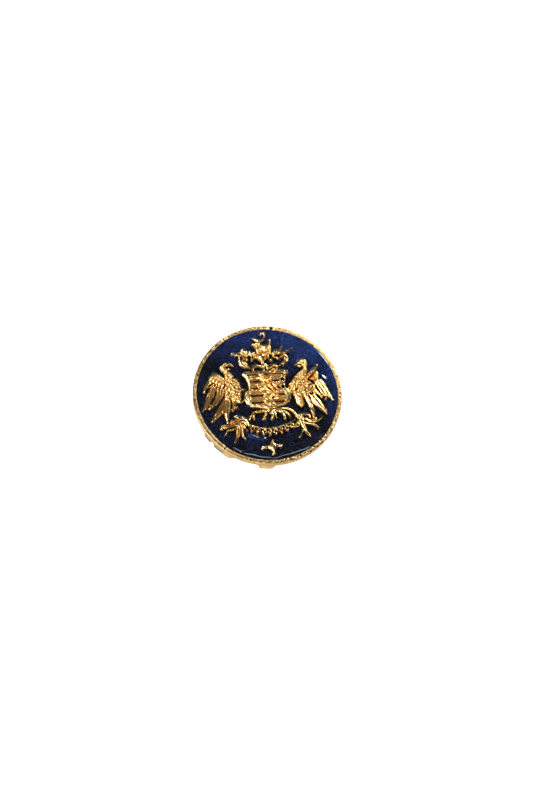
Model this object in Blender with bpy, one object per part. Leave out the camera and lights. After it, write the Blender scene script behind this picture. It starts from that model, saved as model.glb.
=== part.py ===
"""Round gilt and enamel cap badge with a hinged brooch pin on its back.

The badge lies face up. Its face looks along +Z, the top of the emblem is at +Y, and
the origin is under the centre of the disc, in the plane that the feet rest on.
Dimensions below are millimetres. The geometry is built in metres.
"""

import math

import bmesh
import bpy
from mathutils import Matrix, Vector

MM = 0.001

# Disc
BADGE_RADIUS = 18.0
RIM_WIDTH = 0.95
RIM_TOP = 3.6
RIM_CHAMFER = 0.18
WALL_BOTTOM = 2.0
FLOOR_BOTTOM = 2.35
FLOOR_TOP = 2.65
BACK_RECESS_RADIUS = 16.25
ENAMEL_TOP = 3.2
CLEARANCE = 0.05
DISC_STEPS = 72

# How far a cutter runs past what it cuts, and how far joined shapes sink together
OVERSHOOT = 1.0
SINK = 0.1
SHARP_EDGE_DEGREES = 35.0

# Devices that stand on the enamel, each with pegs through the floor of the dish
DEVICE_BOTTOM = ENAMEL_TOP + CLEARANCE
PEG_RADIUS = 0.4
PEG_HOLE_RADIUS = PEG_RADIUS + CLEARANCE
PEG_BOTTOM = FLOOR_BOTTOM + CLEARANCE
PEG_STEPS = 12

# Lugs that carry the wall's curve down to the rest plane. Each outline runs across the
# lug: its ends at the bottom, then its ends at the top.
FITTING_TOP = WALL_BOTTOM - CLEARANCE
LUG_OUTER = 17.95
LUG_INNER = 16.6
LOWER_LUG_ANGLE = 264.2
UPPER_LUG_ANGLE = 68.0
EVEN_LUG = (-1.48, 1.48, -2.2, 2.2)
SIDE_LUG = (-5.35, -3.6, -6.6, -3.6)

# Hinge of the brooch pin
HINGE_ANGLE = 217.35
HINGE_RADIUS = 16.7
AXIS_HEIGHT = 1.0
HINGE_BASE_THICKNESS = 0.3
HINGE_BASE_INNER = 2.4
THICK_EAR = (-3.5, -0.62)
THIN_EAR = (0.62, 2.9)
EAR_INNER = 0.9
EAR_BOTTOM = 0.35
RIVET_RADIUS = 0.24
RIVET_HOLE_RADIUS = RIVET_RADIUS + CLEARANCE
KNUCKLE_RADIUS = 0.58
KNUCKLE_WIDTH = 1.1
ROUND_STEPS = 24

# Brooch pin
PIN_RADIUS = 0.35
PIN_LENGTH = 32.4
POINT_LENGTH = 4.0
POINT_RADIUS = 0.06

# Catch, with a sleeve that turns inside an open clip
CATCH_RADIUS = 14.0
CLIP_BOTTOM = 0.15
CLIP_HALF_WIDTH = 1.3
CLIP_HALF_LENGTH = 1.2
CLIP_FLANGE_HALF_WIDTH = 2.0
CLIP_FLANGE_THICKNESS = 0.25
SLEEVE_RADIUS = 0.68
SLEEVE_BORE = 0.45
SLEEVE_START = -1.5
SLEEVE_END = 1.9
MOUTH_HALF_WIDTH = 0.42
LEVER_REACH = 1.6
LEVER_LENGTH = 0.45
LEVER_THICKNESS = 0.3


# Each device: half or whole outline, height above the enamel, and its pegs
SHIELD_HALF = [
    (0.0, 6.1), (3.0, 6.05), (5.5, 5.8), (5.1, 4.8), (4.7, 3.6), (4.45, 2.4), (4.5, 1.1),
    (5.2, 0.7), (5.65, -0.3), (5.6, -1.3), (4.9, -2.5), (4.2, -3.1), (2.6, -3.5),
    (1.0, -3.8), (0.0, -4.15),
]
WREATH_HALF = [
    (0.0, 8.3), (0.5, 8.0), (1.2, 7.6), (2.2, 7.75), (3.0, 7.4), (3.2, 6.9), (3.0, 6.2),
    (0.0, 6.2),
]
HELMET_HALF = [
    (0.2, 12.3), (1.6, 12.2), (2.0, 11.4), (2.0, 10.3), (1.8, 9.6), (1.2, 8.8), (0.2, 8.5),
]
HELMET_AXIS = 0.2
CREST = [
    (-1.7, 12.4), (-2.0, 12.8), (-2.6, 13.1), (-2.5, 13.5), (-1.9, 13.6), (-1.4, 13.9),
    (-1.9, 14.7), (-1.8, 15.1), (-1.5, 14.9), (-1.0, 14.3), (-0.4, 14.2), (0.2, 14.7),
    (0.5, 15.4), (-0.1, 15.5), (-0.3, 15.9), (0.1, 16.2), (0.7, 16.1), (1.0, 15.5),
    (0.8, 14.8), (0.3, 14.1), (-0.3, 13.6), (0.0, 13.2), (0.1, 12.75), (1.3, 12.65),
    (1.7, 13.2), (1.8, 14.2), (2.1, 14.65), (2.6, 14.5), (2.5, 14.1), (2.2, 13.9),
    (2.15, 12.9), (2.1, 12.4),
]
MANTLING_LEFT = [
    (-1.9, 10.9), (-2.6, 11.0), (-3.2, 11.5), (-4.0, 11.7), (-4.6, 12.3), (-5.1, 12.4),
    (-5.3, 11.8), (-6.1, 11.4), (-6.6, 11.1), (-7.0, 11.7), (-7.7, 11.9), (-7.5, 11.1),
    (-6.9, 10.6), (-6.2, 10.2), (-5.9, 9.6), (-6.0, 8.8), (-5.7, 7.9), (-5.0, 7.2),
    (-4.2, 7.1), (-3.5, 7.4), (-3.9, 7.8), (-4.2, 8.4), (-3.4, 8.4), (-3.0, 9.0),
    (-2.5, 8.6), (-2.1, 8.9), (-1.9, 9.5),
]
MANTLING_RIGHT = [
    (2.4, 10.8), (2.6, 11.3), (3.1, 11.5), (3.6, 11.3), (4.1, 11.7), (4.7, 12.5),
    (5.3, 12.6), (5.2, 12.1), (4.4, 11.0), (5.6, 10.9), (6.4, 11.3), (7.2, 12.2),
    (7.8, 12.1), (7.4, 11.6), (5.9, 10.6), (6.1, 9.8), (6.1, 8.9), (5.6, 7.9),
    (4.9, 7.2), (4.2, 7.1), (4.1, 7.6), (3.5, 7.5), (4.0, 8.3), (3.4, 8.9), (2.9, 9.0),
    (2.3, 8.4), (1.8, 8.4), (2.1, 9.3), (2.3, 10.0),
]
EAGLE_LEFT = [
    (-7.5, 7.9), (-8.2, 8.4), (-9.3, 8.45), (-10.3, 8.1), (-11.0, 7.4), (-11.0, 6.7),
    (-10.6, 6.0), (-10.1, 5.3), (-9.9, 4.5), (-10.5, 4.6), (-11.2, 5.2), (-12.0, 6.0),
    (-12.7, 6.1), (-13.5, 5.5), (-13.9, 4.4), (-14.6, 3.6), (-15.1, 2.6), (-15.5, 1.6),
    (-15.2, 1.1), (-14.8, 1.6), (-14.5, 2.3), (-13.6, 2.6), (-14.1, 1.4), (-14.8, -0.6),
    (-15.4, -2.3), (-15.9, -3.6), (-15.3, -3.3), (-14.5, -3.15), (-13.7, -2.9),
    (-12.9, -2.3), (-11.7, -1.0), (-10.7, -0.1), (-11.2, -1.3), (-12.0, -2.7),
    (-13.1, -4.6), (-14.1, -6.4), (-13.5, -6.5), (-12.6, -5.8), (-11.9, -4.6),
    (-11.0, -4.3), (-10.8, -5.3), (-10.45, -7.0), (-9.85, -7.0), (-9.8, -5.8),
    (-9.5, -4.4), (-8.9, -4.1), (-8.2, -3.7), (-7.5, -3.0), (-7.2, -2.2), (-6.3, -1.9),
    (-5.8, -1.5), (-5.9, -1.1), (-6.4, -1.1), (-6.2, -0.2), (-6.3, 0.8), (-6.0, 1.4),
    (-5.4, 1.4), (-5.3, 1.8), (-6.1, 2.1), (-6.4, 3.2), (-6.9, 4.2), (-7.8, 4.8),
    (-8.6, 5.8), (-9.1, 6.6), (-8.2, 7.1), (-8.5, 7.5),
]
EAGLE_RIGHT = [
    (7.3, 7.2), (7.5, 7.8), (8.1, 8.2), (9.0, 8.5), (9.9, 8.1), (10.5, 7.3), (10.5, 6.6),
    (10.2, 5.8), (10.2, 4.9), (10.0, 4.3), (10.9, 4.7), (12.0, 5.6), (12.8, 6.2),
    (12.7, 6.8), (13.3, 6.8), (13.5, 6.1), (12.9, 5.2), (12.9, 4.0), (13.0, 3.1),
    (13.7, 2.5), (14.3, 1.5), (15.0, 0.0), (15.5, -1.3), (15.9, -2.7), (15.6, -3.0),
    (14.8, -2.2), (14.2, -2.4), (13.8, -2.3), (13.4, -1.8), (12.8, -2.0), (12.0, -1.3),
    (11.2, -0.8), (12.1, -1.7), (12.9, -2.7), (13.7, -4.1), (14.2, -5.7), (13.9, -6.1),
    (13.3, -5.7), (12.7, -4.8), (12.2, -4.1), (11.4, -4.1), (11.0, -4.6), (11.1, -6.0),
    (11.0, -6.9), (10.3, -6.9), (10.0, -5.8), (9.9, -4.5), (9.5, -3.0), (9.1, -2.1),
    (8.7, -2.3), (8.6, -3.2), (8.4, -3.9), (7.6, -3.9), (7.0, -3.3), (6.6, -2.3),
    (6.1, -1.2), (6.0, 0.3), (5.4, 1.4), (5.4, 2.0), (5.7, 2.6), (6.6, 3.2), (7.2, 4.3),
    (8.4, 5.3), (8.9, 6.4), (8.3, 6.9),
]
BASE_SCROLL = [
    (-5.1, -6.6), (-5.0, -5.8), (-4.4, -5.2), (-3.8, -4.8), (-2.8, -3.85), (-1.6, -4.0),
    (-0.6, -4.2), (0.0, -4.4), (0.6, -4.2), (1.6, -4.0), (2.8, -3.8), (4.0, -3.5),
    (5.0, -3.9), (5.9, -4.7), (6.5, -5.7), (6.6, -6.3), (6.1, -6.3), (5.6, -5.5),
    (5.4, -6.3), (5.0, -6.3), (4.7, -5.6), (4.2, -5.2), (4.2, -6.6), (3.7, -6.8),
    (3.7, -5.8), (3.1, -5.2), (2.2, -4.9), (1.7, -5.1), (1.6, -5.9), (1.0, -6.9),
    (0.4, -6.9), (0.3, -6.1), (0.0, -5.2), (-0.6, -5.6), (-0.9, -6.9), (-1.5, -6.9),
    (-1.3, -5.9), (-1.0, -5.2), (-1.7, -4.7), (-2.6, -4.9), (-3.1, -5.6), (-3.1, -6.8),
    (-3.7, -6.8), (-3.9, -5.7), (-4.5, -6.1), (-4.6, -6.8),
]
BRANCH_LEFT = [
    (-12.3, -8.2), (-11.9, -7.4), (-11.0, -7.3), (-9.7, -7.3), (-9.4, -6.8), (-9.0, -6.2),
    (-8.2, -6.0), (-8.5, -5.2), (-7.6, -5.2), (-7.2, -5.9), (-6.7, -5.4), (-6.1, -5.7),
    (-5.6, -6.4), (-5.4, -7.2), (-5.1, -7.8), (-5.4, -8.4), (-5.6, -9.3), (-6.2, -9.1),
    (-6.4, -9.9), (-6.2, -11.3), (-6.9, -11.0), (-7.3, -10.2), (-7.9, -10.8),
    (-8.7, -12.2), (-9.2, -11.9), (-8.7, -10.5), (-8.3, -9.0), (-9.2, -9.0),
    (-10.2, -9.2), (-10.6, -10.0), (-11.1, -10.3), (-11.2, -9.6), (-10.9, -8.8),
    (-11.7, -8.7),
]
BRANCH_RIGHT = [
    (6.9, -6.2), (7.2, -5.8), (8.4, -5.75), (9.5, -5.8), (9.75, -6.6), (10.1, -7.2),
    (11.6, -7.3), (12.4, -6.8), (12.7, -7.0), (12.1, -7.8), (11.0, -8.2), (11.3, -8.8),
    (11.8, -9.5), (11.3, -9.8), (10.6, -9.1), (9.7, -8.9), (8.9, -8.7), (9.1, -10.1),
    (9.6, -11.5), (9.1, -11.7), (8.4, -10.9), (7.8, -10.3), (7.2, -11.2), (6.7, -11.8),
    (6.4, -11.5), (7.1, -10.4), (7.5, -9.6), (7.3, -8.6), (6.6, -8.7), (5.6, -9.0),
    (5.4, -8.8), (6.0, -8.0), (6.1, -7.4), (6.6, -6.8),
]
FLEURON = [
    (0.0, -11.9), (-0.4, -12.5), (-1.3, -13.1), (-2.1, -13.1), (-2.6, -13.7),
    (-2.2, -14.3), (-1.5, -13.9), (-0.6, -14.0), (-0.2, -14.8), (-0.2, -15.6),
    (0.2, -15.95), (0.6, -15.5), (0.7, -14.6), (0.9, -13.9), (1.6, -13.8), (2.2, -14.1),
    (2.9, -13.8), (2.5, -13.2), (1.8, -13.0), (1.2, -13.3), (0.7, -12.6),
]

# The beaded band hangs on a parabola: y = BAND_LOW + BAND_CURVE * x * x
BAND_LOW = -8.9
BAND_CURVE = 0.055
BAND_HEIGHT = 1.5
BAND_LEFT = -4.9
BAND_RIGHT = 5.2
BAND_STEPS = 16

# Colours, as linear RGB
GILT = ("gilt", (0.78, 0.53, 0.22), 1.0, 0.3)
ENAMEL = ("blue_enamel", (0.006, 0.01, 0.05), 0.0, 0.05)
STEEL = ("pin_steel", (0.55, 0.54, 0.52), 1.0, 0.25)


def material(spec):
    name, colour, metallic, roughness = spec
    made = bpy.data.materials.get(name)
    if made is None:
        made = bpy.data.materials.new(name)
        made.use_nodes = True
        shader = made.node_tree.nodes["Principled BSDF"]
        shader.inputs["Base Color"].default_value = (*colour, 1.0)
        shader.inputs["Metallic"].default_value = metallic
        shader.inputs["Roughness"].default_value = roughness
        made.diffuse_color = (*colour, 1.0)
    return made


def add_object(name, shape, spec, parent=None):
    """Turn a bmesh in millimetres into an object in metres."""
    bmesh.ops.scale(shape, vec=(MM, MM, MM), verts=shape.verts)
    bmesh.ops.recalc_face_normals(shape, faces=shape.faces)
    mesh = bpy.data.meshes.new(name)
    shape.to_mesh(mesh)
    shape.free()
    mesh.materials.append(material(spec))
    made = bpy.data.objects.new(name, mesh)
    bpy.context.collection.objects.link(made)
    made.parent = parent
    return made


def hide(tool):
    tool.hide_render = True
    tool.display_type = "WIRE"


def combine(target, tool, operation):
    hide(tool)
    step = target.modifiers.new(tool.name, "BOOLEAN")
    step.operation = operation
    step.solver = "EXACT"
    step.object = tool


def prism(outline, bottom, top):
    """A straight-walled solid over a closed outline in the XY plane."""
    shape = bmesh.new()
    face = shape.faces.new([shape.verts.new((x, y, bottom)) for x, y in outline])
    raised = bmesh.ops.extrude_face_region(shape, geom=[face])
    verts = [part for part in raised["geom"] if isinstance(part, bmesh.types.BMVert)]
    bmesh.ops.translate(shape, vec=(0, 0, top - bottom), verts=verts)
    return shape


def box(low, high):
    shape = bmesh.new()
    middle = [(a + b) / 2 for a, b in zip(low, high)]
    size = [b - a for a, b in zip(low, high)]
    place = Matrix.Translation(middle) @ Matrix.Diagonal((*size, 1.0))
    bmesh.ops.create_cube(shape, size=1.0, matrix=place)
    return shape


def rod(radius, start, end, axis="Z", end_radius=None, steps=ROUND_STEPS, at=(0, 0, 0)):
    """A round bar or cone along one axis, from start to end."""
    turn = {
        "X": Matrix.Rotation(math.pi / 2, 4, "Y"),
        "Y": Matrix.Rotation(-math.pi / 2, 4, "X"),
        "Z": Matrix.Identity(4),
    }[axis]
    shape = bmesh.new()
    move = Matrix.Translation((0, 0, (start + end) / 2))
    bmesh.ops.create_cone(
        shape, cap_ends=True, segments=steps, radius1=radius,
        radius2=radius if end_radius is None else end_radius,
        depth=end - start, matrix=Matrix.Translation(at) @ turn @ move,
    )
    return shape


def turned(profile):
    """A solid of revolution about Z, from a profile that starts and ends on the axis."""
    shape = bmesh.new()
    points = [shape.verts.new((radius, 0, height)) for radius, height in profile]
    edges = [shape.edges.new(pair) for pair in zip(points, points[1:])]
    bmesh.ops.spin(
        shape, geom=points + edges, cent=(0, 0, 0), axis=(0, 0, 1),
        angle=math.tau, steps=DISC_STEPS, use_merge=False,
    )
    bmesh.ops.remove_doubles(shape, verts=shape.verts, dist=CLEARANCE / 10)
    return shape


def mirrored(half, axis=0.0):
    """Close a half outline, which runs down the right side, with its mirror image."""
    left = [(2 * axis - x, y) for x, y in reversed(half) if abs(x - axis) > CLEARANCE]
    return half + left


def band_outline():
    """The two parallel edges of the beaded band."""
    span = BAND_RIGHT - BAND_LEFT
    places = [BAND_LEFT + span * step / BAND_STEPS for step in range(BAND_STEPS + 1)]
    top = [(x, BAND_LOW + BAND_CURVE * x * x) for x in places]
    return top + [(x, y - BAND_HEIGHT) for x, y in reversed(top)]


def devices():
    """Every raised device: name, outline, height above the enamel, peg places."""
    return [
        ("shield", mirrored(SHIELD_HALF), 0.85, [(-3.0, 3.5), (3.0, 3.5), (0.0, -2.0)]),
        ("wreath", mirrored(WREATH_HALF), 0.8, [(0.0, 7.1)]),
        ("helmet", mirrored(HELMET_HALF, HELMET_AXIS), 1.1, [(0.2, 10.4)]),
        ("crest", CREST, 0.75, [(-0.9, 13.0)]),
        ("mantling_left", MANTLING_LEFT, 0.7, [(-4.8, 10.9)]),
        ("mantling_right", MANTLING_RIGHT, 0.7, [(5.0, 9.4)]),
        ("eagle_left", EAGLE_LEFT, 1.0, [(-8.2, 2.6), (-12.6, 3.8)]),
        ("eagle_right", EAGLE_RIGHT, 1.0, [(8.0, 2.4), (12.8, 1.4)]),
        ("base_scroll", BASE_SCROLL, 0.7, [(-0.3, -4.95), (4.2, -4.4)]),
        ("branch_left", BRANCH_LEFT, 0.65, [(-7.4, -8.0)]),
        ("branch_right", BRANCH_RIGHT, 0.65, [(8.2, -8.0)]),
        ("beaded_band", band_outline(), 0.5, [(-3.2, -9.1), (3.2, -9.1)]),
        ("fleuron", FLEURON, 0.7, [(0.2, -13.3)]),
    ]


def make_peg(name, place, radius, bottom, top, spec):
    shape = rod(radius, bottom, top, steps=PEG_STEPS, at=(*place, 0))
    return add_object(name, shape, spec)


def make_disc_and_devices():
    inner = BADGE_RADIUS - RIM_WIDTH
    body = add_object("badge_body", turned([
        (0, FLOOR_TOP),
        (inner, FLOOR_TOP),
        (inner, RIM_TOP),
        (BADGE_RADIUS - RIM_CHAMFER, RIM_TOP),
        (BADGE_RADIUS, RIM_TOP - RIM_CHAMFER),
        (BADGE_RADIUS, WALL_BOTTOM),
        (BACK_RECESS_RADIUS, WALL_BOTTOM),
        (BACK_RECESS_RADIUS, FLOOR_BOTTOM),
        (0, FLOOR_BOTTOM),
    ]), GILT)
    enamel_shape = rod(
        inner - CLEARANCE, FLOOR_TOP + CLEARANCE, ENAMEL_TOP, steps=DISC_STEPS
    )
    enamel = add_object("enamel_field", enamel_shape, ENAMEL)
    for name, outline, height, pegs in devices():
        top = DEVICE_BOTTOM + height
        device = add_object(name, prism(outline, DEVICE_BOTTOM, top), GILT)
        middle = (DEVICE_BOTTOM + top) / 2
        for number, place in enumerate(pegs):
            label = f"{name}_{number}"
            peg = make_peg(f"peg_{label}", place, PEG_RADIUS, PEG_BOTTOM, middle, GILT)
            combine(device, peg, "UNION")
            hole = make_peg(
                f"hole_{label}", place, PEG_HOLE_RADIUS, WALL_BOTTOM, RIM_TOP, GILT
            )
            combine(body, hole, "DIFFERENCE")
            combine(enamel, hole, "DIFFERENCE")
    plate = rod(
        BACK_RECESS_RADIUS - CLEARANCE, WALL_BOTTOM + CLEARANCE,
        FLOOR_BOTTOM - CLEARANCE, steps=DISC_STEPS,
    )
    add_object("back_plate", plate, GILT)


def follow_wall(target):
    """Trim a fitting to the outside of the wall."""
    shape = rod(LUG_OUTER, -OVERSHOOT, RIM_TOP, steps=DISC_STEPS)
    combine(target, add_object(f"{target.name}_outside", shape, GILT), "INTERSECT")


def make_lug(name, angle, outline):
    """A lug with one or two sloping ends, that follows the wall of the disc."""
    bottom_left, bottom_right, top_left, top_right = outline
    corners = [
        (bottom_left, 0), (bottom_right, 0), (top_right, FITTING_TOP),
        (top_left, FITTING_TOP),
    ]
    shape = prism(corners, -BADGE_RADIUS - OVERSHOOT, OVERSHOOT - LUG_INNER)
    shape.transform(Matrix.Rotation(math.pi / 2, 4, "X"))
    shape.transform(Matrix.Rotation(math.radians(angle - 90), 4, "Z"))
    bmesh.ops.recalc_face_normals(shape, faces=shape.faces)
    lug = add_object(name, shape, GILT)
    follow_wall(lug)
    inside = rod(LUG_INNER, -OVERSHOOT, RIM_TOP, steps=DISC_STEPS)
    combine(lug, add_object(f"{name}_inside", inside, GILT), "DIFFERENCE")


def frame_at(name, radius, angle):
    """An empty on a fitting's axis, whose local +Y points away from the centre."""
    place = Matrix.Rotation(math.radians(angle), 4, "Z") @ Vector((radius, 0, AXIS_HEIGHT))
    frame = bpy.data.objects.new(name, None)
    bpy.context.collection.objects.link(frame)
    frame.location = place * MM
    frame.rotation_euler.z = math.radians(angle - 90)
    return frame


def make_hinge():
    frame = frame_at("hinge_frame", HINGE_RADIUS, HINGE_ANGLE)
    top = FITTING_TOP - AXIS_HEIGHT
    under = top - HINGE_BASE_THICKNESS
    outside = BADGE_RADIUS - HINGE_RADIUS + OVERSHOOT
    bracket_shape = box(
        (THICK_EAR[0], -HINGE_BASE_INNER, under), (THIN_EAR[1], outside, top)
    )
    bracket = add_object("hinge_bracket", bracket_shape, GILT, frame)
    middle = (under + top) / 2
    for label, (left, right) in (("thick", THICK_EAR), ("thin", THIN_EAR)):
        ear_shape = box(
            (left, -EAR_INNER, EAR_BOTTOM - AXIS_HEIGHT), (right, outside, middle)
        )
        combine(bracket, add_object(f"ear_{label}", ear_shape, GILT, frame), "UNION")
    hole_shape = rod(
        RIVET_HOLE_RADIUS, THICK_EAR[0] - OVERSHOOT, THIN_EAR[1] + OVERSHOOT, "X"
    )
    combine(bracket, add_object("rivet_hole", hole_shape, GILT, frame), "DIFFERENCE")
    follow_wall(bracket)
    rivet_shape = rod(RIVET_RADIUS, THICK_EAR[0], THIN_EAR[1], "X")
    add_object("hinge_rivet", rivet_shape, STEEL, frame)

    half = KNUCKLE_WIDTH / 2
    pin = add_object("brooch_pin", rod(KNUCKLE_RADIUS, -half, half, "X"), STEEL, frame)
    straight_end = POINT_LENGTH - PIN_LENGTH
    stem_shape = rod(PIN_RADIUS, straight_end, -RIVET_HOLE_RADIUS, "Y")
    combine(pin, add_object("stem", stem_shape, STEEL, frame), "UNION")
    point_shape = rod(POINT_RADIUS, -PIN_LENGTH, straight_end + SINK, "Y", PIN_RADIUS)
    combine(pin, add_object("point", point_shape, STEEL, frame), "UNION")
    eye_shape = rod(RIVET_HOLE_RADIUS, -half - OVERSHOOT, half + OVERSHOOT, "X")
    combine(pin, add_object("eye", eye_shape, STEEL, frame), "DIFFERENCE")


def make_catch():
    frame = frame_at("catch_frame", CATCH_RADIUS, HINGE_ANGLE - 180)
    top = FITTING_TOP - AXIS_HEIGHT
    long = CLIP_HALF_LENGTH
    clip_shape = box(
        (-CLIP_HALF_WIDTH, -long, CLIP_BOTTOM - AXIS_HEIGHT), (CLIP_HALF_WIDTH, long, top)
    )
    clip = add_object("catch_base", clip_shape, GILT, frame)
    flange_shape = box(
        (-CLIP_FLANGE_HALF_WIDTH, -long, top - CLIP_FLANGE_THICKNESS),
        (CLIP_FLANGE_HALF_WIDTH, long, top),
    )
    combine(clip, add_object("flange", flange_shape, GILT, frame), "UNION")
    bore_shape = rod(
        SLEEVE_RADIUS + CLEARANCE, -long - OVERSHOOT, long + OVERSHOOT, "Y"
    )
    combine(clip, add_object("clip_bore", bore_shape, GILT, frame), "DIFFERENCE")
    mouth_low = (-MOUTH_HALF_WIDTH, SLEEVE_START - OVERSHOOT, -AXIS_HEIGHT - OVERSHOOT)
    mouth_high = (MOUTH_HALF_WIDTH, SLEEVE_END + OVERSHOOT, 0)
    mouth = add_object("mouth", box(mouth_low, mouth_high), GILT, frame)
    combine(clip, mouth, "DIFFERENCE")

    sleeve_shape = rod(SLEEVE_RADIUS, SLEEVE_START, SLEEVE_END, "Y")
    sleeve = add_object("catch_sleeve", sleeve_shape, GILT, frame)
    lever_shape = box(
        (SLEEVE_BORE, SLEEVE_END - LEVER_LENGTH, -LEVER_THICKNESS / 2),
        (LEVER_REACH, SLEEVE_END, LEVER_THICKNESS / 2),
    )
    combine(sleeve, add_object("lever", lever_shape, GILT, frame), "UNION")
    inside = rod(SLEEVE_BORE, SLEEVE_START - OVERSHOOT, SLEEVE_END + OVERSHOOT, "Y")
    combine(sleeve, add_object("sleeve_bore", inside, GILT, frame), "DIFFERENCE")
    combine(sleeve, mouth, "DIFFERENCE")


def main():
    for old in list(bpy.data.objects):
        bpy.data.objects.remove(old, do_unlink=True)
    make_disc_and_devices()
    make_lug("lower_foot", LOWER_LUG_ANGLE, EVEN_LUG)
    make_lug("side_foot", HINGE_ANGLE, SIDE_LUG)
    make_lug("upper_foot", UPPER_LUG_ANGLE, EVEN_LUG)
    make_hinge()
    make_catch()
    for made in bpy.data.objects:
        if made.type == "MESH":
            made.data.shade_smooth()
            made.data.set_sharp_from_angle(angle=math.radians(SHARP_EDGE_DEGREES))


main()
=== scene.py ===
"""Gilt and blue enamel cap badge: fine relief, materials, light and camera.

Emblem sizes are millimetres: +X to the right, +Y towards the top of the emblem, and
heights are counted from the surface of the enamel.
"""

import math

import bmesh
import bpy
import numpy as np
from mathutils import Matrix, Vector


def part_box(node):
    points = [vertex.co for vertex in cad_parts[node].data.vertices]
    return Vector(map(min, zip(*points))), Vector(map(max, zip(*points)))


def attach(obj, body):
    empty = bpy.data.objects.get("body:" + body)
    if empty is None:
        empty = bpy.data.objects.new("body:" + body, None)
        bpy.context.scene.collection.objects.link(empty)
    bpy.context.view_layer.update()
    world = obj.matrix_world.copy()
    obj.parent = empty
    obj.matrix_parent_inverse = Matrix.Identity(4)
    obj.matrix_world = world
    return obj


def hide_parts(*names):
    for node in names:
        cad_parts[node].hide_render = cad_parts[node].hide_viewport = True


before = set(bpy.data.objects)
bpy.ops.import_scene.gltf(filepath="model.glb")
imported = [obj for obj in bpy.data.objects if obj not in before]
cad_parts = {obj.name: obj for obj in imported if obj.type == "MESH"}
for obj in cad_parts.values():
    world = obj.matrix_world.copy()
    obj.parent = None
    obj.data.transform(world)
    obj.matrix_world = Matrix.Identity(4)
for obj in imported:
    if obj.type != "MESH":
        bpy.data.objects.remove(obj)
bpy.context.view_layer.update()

MM = 0.001


def top_of(node):
    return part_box(node)[1][2] / MM


def bottom_of(node):
    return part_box(node)[0][2] / MM


ENAMEL_TOP = top_of("enamel_field")
RIM_TOP = top_of("badge_body")
WALL_BOTTOM = bottom_of("badge_body")
BADGE_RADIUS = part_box("badge_body")[1][0] / MM
RIM_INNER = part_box("enamel_field")[1][0] / MM + 0.05

# Relief grid: its spacing, the foot of every device, the height below which cells are
# dropped, and what each bar gains in width against the softening of the casting
PITCH = 0.07
ROOT = -0.32
CUT = -0.22
SPREAD = 0.03
BARB_PERIOD = 0.36


# ---------------------------------------------------------------- number helpers

def smooth_path(points, steps=6):
    """Catmull-Rom curve through the points; extra columns such as radius go along."""
    pts = np.array(points, dtype=float)
    if len(pts) < 3:
        t = np.linspace(0, 1, steps + 1)[:, None]
        return pts[0] * (1 - t) + pts[-1] * t
    ends = np.vstack([2 * pts[0] - pts[1], pts, 2 * pts[-1] - pts[-2]])
    out = []
    for i in range(1, len(ends) - 2):
        a, b, c, d = ends[i - 1:i + 3]
        for t in np.linspace(0, 1, steps, endpoint=False):
            out.append(0.5 * (2 * b + (c - a) * t + (2 * a - 5 * b + 4 * c - d) * t ** 2
                              + (3 * b - a - 3 * c + d) * t ** 3))
    out.append(pts[-1])
    return np.array(out)


def blur(field, sigma):
    """Gaussian blur with edge padding, sigma in cells."""
    half = max(1, int(3 * sigma))
    kernel = np.exp(-0.5 * (np.arange(-half, half + 1) / sigma) ** 2)
    kernel /= kernel.sum()
    for axis in (0, 1):
        pad = [(0, 0), (0, 0)]
        pad[axis] = (half, half)
        wide = np.pad(field, pad, mode="edge")
        count = field.shape[axis]
        field = sum(
            weight * np.take(wide, np.arange(i, i + count), axis=axis)
            for i, weight in enumerate(kernel)
        )
    return field


def smooth_max(a, b, k):
    """The larger of two fields, rounded where they come within k of each other."""
    blend = np.clip(1 - np.abs(a - b) / k, 0, 1)
    return np.maximum(a, b) + 0.25 * k * blend ** 2


def hash_noise(x, y, seed):
    """Smooth value noise from 0 to 1 on a unit lattice, the same on every run."""
    xi, yi = np.floor(x).astype(int), np.floor(y).astype(int)
    fx, fy = x - xi, y - yi
    fx, fy = fx * fx * (3 - 2 * fx), fy * fy * (3 - 2 * fy)

    def value(i, j):
        n = (i * 374761393 + j * 668265263 + seed * 982451653) & 0x7FFFFFFF
        n = ((n ^ (n >> 13)) * 1274126177) & 0x7FFFFFFF
        return ((n ^ (n >> 16)) & 0xFFFF) / 65535.0

    low = value(xi, yi) * (1 - fx) + value(xi + 1, yi) * fx
    high = value(xi, yi + 1) * (1 - fx) + value(xi + 1, yi + 1) * fx
    return low * (1 - fy) + high * fy


# ---------------------------------------------------------------- relief engine

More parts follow.
